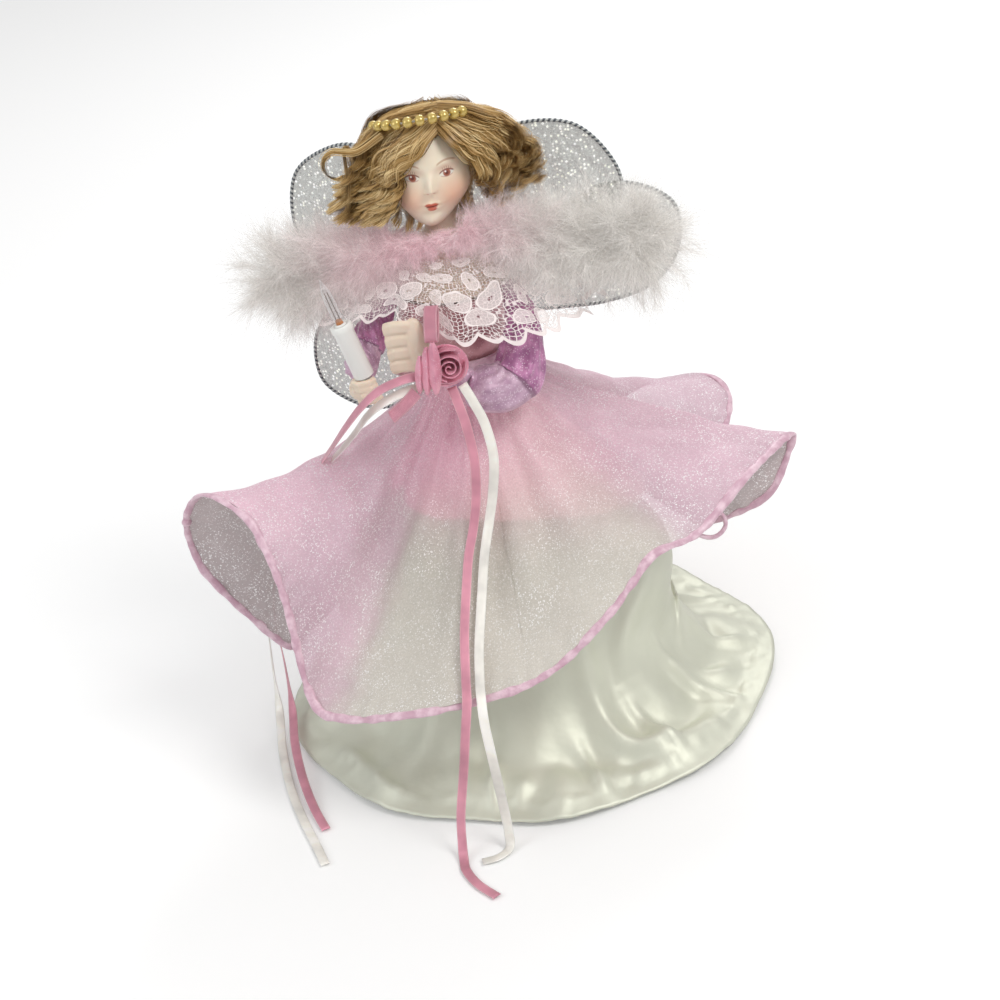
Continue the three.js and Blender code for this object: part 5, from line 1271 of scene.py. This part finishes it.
for plan in wings:
    side = plan["side"]
    lobes = [
        dict(part="upper", span=87, wide=65, angle=plan["upper"], behind=0.0, rise=3.1, gap=1.08),
        dict(part="lower", span=91, wide=52, angle=plan["lower"], behind=2.0, rise=-3.1, gap=0.72),
    ]
    low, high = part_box(plan["name"] + "_stem")
    pivot = np.array((low + high) / 2) / mm
    for lobe in lobes:
        span, wide = lobe["span"], lobe["wide"]
        root = math.sqrt((2 + lobe["gap"]) ** 2 - lobe["behind"] ** 2)
        knots = [(0, 0, 0), *[(s * span, t * wide, 0) for s, t in lobeShape], (span, 0, 0),
                 *[(s * span, -t * wide, 0) for s, t in lobeShape[::-1]]]
        outline = smoothCurve(knots, 361, closed=True) + [root, 0, 0]

        def settle(points, lobe=lobe):
            x, z, y = turned(points, lobe["angle"] if side > 0 else 180 - lobe["angle"]).T
            upright = np.stack([x, lobe["behind"] - y, z + lobe["rise"]], -1)
            return turned(upright, side * plan["sweep"]) + pivot

        middle = np.array([root + span * 0.58, 0, 0])
        seed = 8 + side

        def film(u, v, outline=outline, middle=middle, seed=seed):
            flat = middle + (along(outline, u) - middle) * (v * 0.985)[:, None]
            crinkle = 0.35 * ripples(flat[:, :2], seed, 9, 8) + 0.5 * ripples(flat[:, :2], seed + 9, 30, 5)
            flat = flat + (crinkle * (1 - v**6))[:, None] * [0, 0, 0.6]
            return settle(flat)

        node = f"{plan['name']}_{lobe['part']}"
        made = clothMesh(160, 40, film, closed=True)
        makePiece(node + "_film_sheet", made, filmFinish, "wing_film", node + "_film", body=plan["name"])

        def cordRadius(u, v):
            return 0.72 + 0.1 * np.cos(2 * 2 * math.pi * (u * 50 + v))

        made = tubeMesh(360, 10, settle(outline), cordRadius, closed=True)
        makePiece(node + "_rim_cord", made, rimFinish, "rim_cord", node + "_rim", body=plan["name"])
print("stage: wings made")

# Rose: a tight coil wrapped in folded petals, with side petals, a loop and a tail.
rosePlace = np.array([6, -51.5, 192.0])
rose = dict(turns=2.6, core=5.2, depth=7.4)


def atRose(points):
    return turned(points, dressTurn) + rosePlace


def coil(u, v):
    angle = 2 * math.pi * rose["turns"] * u + 0.6
    roll = smoothStep(v, 0.75, 1) * 0.35
    radius = 0.5 + rose["core"] * u + roll
    depth = -(rose["depth"] - 0.8 * u - 0.5 * roll + 0.25 * np.sin(angle * 1.7)) * v
    return atRose(np.stack([radius * np.cos(angle) + 1.4, depth, radius * np.sin(angle) + 1.7], -1))


rosePetalFinish = satinFinish("rose satin", tint(238, 168, 188), tint(208, 126, 150), 90.0)
makePiece("rose_coil", clothMesh(220, 12, coil), rosePetalFinish, "rose_ribbon", "rose_bloom", thick=0.4)
makePiece("rose_back", nodeCopy("rose_base", bevel=0.3), rosePetalFinish, "rose_ribbon", "rose_base")
wraps = [  # middle angle, half sweep, radius, lip, height
    dict(at=205, sweep=80, radius=6.3, lip=1.3, tall=6.8),
    dict(at=95, sweep=62, radius=6.5, lip=1.0, tall=6.0),
    dict(at=290, sweep=65, radius=6.6, lip=1.0, tall=5.6),
    dict(at=150, sweep=52, radius=7.6, lip=1.8, tall=5.2),
    dict(at=235, sweep=50, radius=7.7, lip=1.5, tall=4.8),
]
for k, plan in enumerate(wraps):

    def wrapped(u, v, plan=plan):
        angle = np.radians(plan["at"] + plan["sweep"] * (2 * u - 1))
        peak = 1 - 0.75 * np.abs(2 * u - 1) ** 2.4
        lip = plan["lip"] * smoothStep(v, 0.45, 1) * peak
        radius = plan["radius"] + lip + 0.5 * np.abs(2 * u - 1) ** 2
        depth = -(plan["tall"] * peak * v - 0.9 * lip * smoothStep(v, 0.8, 1))
        return atRose(np.stack([radius * np.cos(angle) + 0.9, depth, radius * np.sin(angle) + 1.7], -1))

    made = clothMesh(40, 14, wrapped)
    makePiece(f"rose_wrap_{k + 1}", made, rosePetalFinish, "rose_ribbon", thick=0.4)
folds = [  # lowest and highest point of a pleat beside the bloom, and its depth
    dict(foot=(-5.6, -5.6, -8.6), head=(-3.4, -7.2, 15.2), fold=3.2, wide=2.7),
    dict(foot=(-9.2, -4.0, -8.8), head=(-6.2, -5.4, 12.8), fold=2.8, wide=2.2),
    dict(foot=(-12.2, -2.6, -8.2), head=(-9.4, -3.6, 8.6), fold=2.4, wide=1.9),
]
for k, plan in enumerate(folds):

    def pleat(u, v, plan=plan):
        foot, top = np.array(plan["foot"]), np.array(plan["head"])
        line = foot + (top - foot) * v[:, None]
        belly = np.sin(math.pi * np.clip(v, 0.04, 0.97)) ** 0.5
        across = (u - 0.5) * 2 * plan["wide"] * belly
        ridge = plan["fold"] * belly * (1 - np.abs(2 * u - 1)) + 0.3 * np.sin(7 * v + k)
        return atRose(line + np.stack([across, -ridge, 0 * u], -1))

    made = clothMesh(20, 30, pleat, flip=True)
    makePiece(f"rose_pleat_{k + 1}", made, rosePetalFinish, "rose_ribbon", *["rose_petal"][k:], thick=0.4)
low, high = rosePlace + [-4.2, 0.7, 10.6], rosePlace + [-5.2, 12.3, 21.4]
axisWay = high - low
flatWay = unit(np.array([0, axisWay[2], -axisWay[1]]))


def loopSurface(u, v):
    angle = 2 * math.pi * u
    longWay = axisWay * 0.49 * np.cos(angle)[:, None]
    line = (low + high) / 2 + longWay + flatWay * (2.0 * np.sin(angle))[:, None]
    return line + np.array([5.6, 0, 0]) * (v - 0.5)[:, None]


made = clothMesh(60, 6, loopSurface, closed=True)
makePiece("rose_loop_band", made, roseRibbon, "rose_ribbon", "rose_loop", thick=ribbon["thick"])
tail = np.array([(-12.3, -3.8, -9.6), (-16.3, -4.8, -12.7), (-20.3, -5.2, -15.4), (-24.3, -5.2, -18)])
made, _ = ribbonMesh(tail + (-11.4, -51.2, 194.6), 6.0, 30, 8, curl=0.6)
makePiece("rose_tail_ribbon", made, roseRibbon, "rose_ribbon", "rose_tail", thick=ribbon["thick"])
print("stage: rose made")

# Card cone, yoke and wires.
cardFinish, tree, inputs = newFinish("card", tint(206, 188, 160), 0.85)
patches = noise(places(tree), 260.0, 5.0)
plug(mixColors(patches, tint(192, 172, 142), tint(218, 202, 176)), inputs["Base Color"])
makePiece("card_cone", nodeCopy("cone_core", bevel=0.2), cardFinish, "card", "cone_core")
makePiece("card_yoke", nodeCopy("wing_yoke", bevel=0.8), cardFinish, "card", "wing_yoke", smooth=False)
for body, ending, slotName in (("right_arm", "_wire", "wire"), ("left_arm", "_wire", "wire"),
                               ("right_wing", "_stem", "rim_cord"), ("left_wing", "_stem", "rim_cord")):
    node = body + ending
    makePiece(node + "_steel", nodeCopy(node), steel, slotName, node, body=body)
print("stage: inner pieces made")
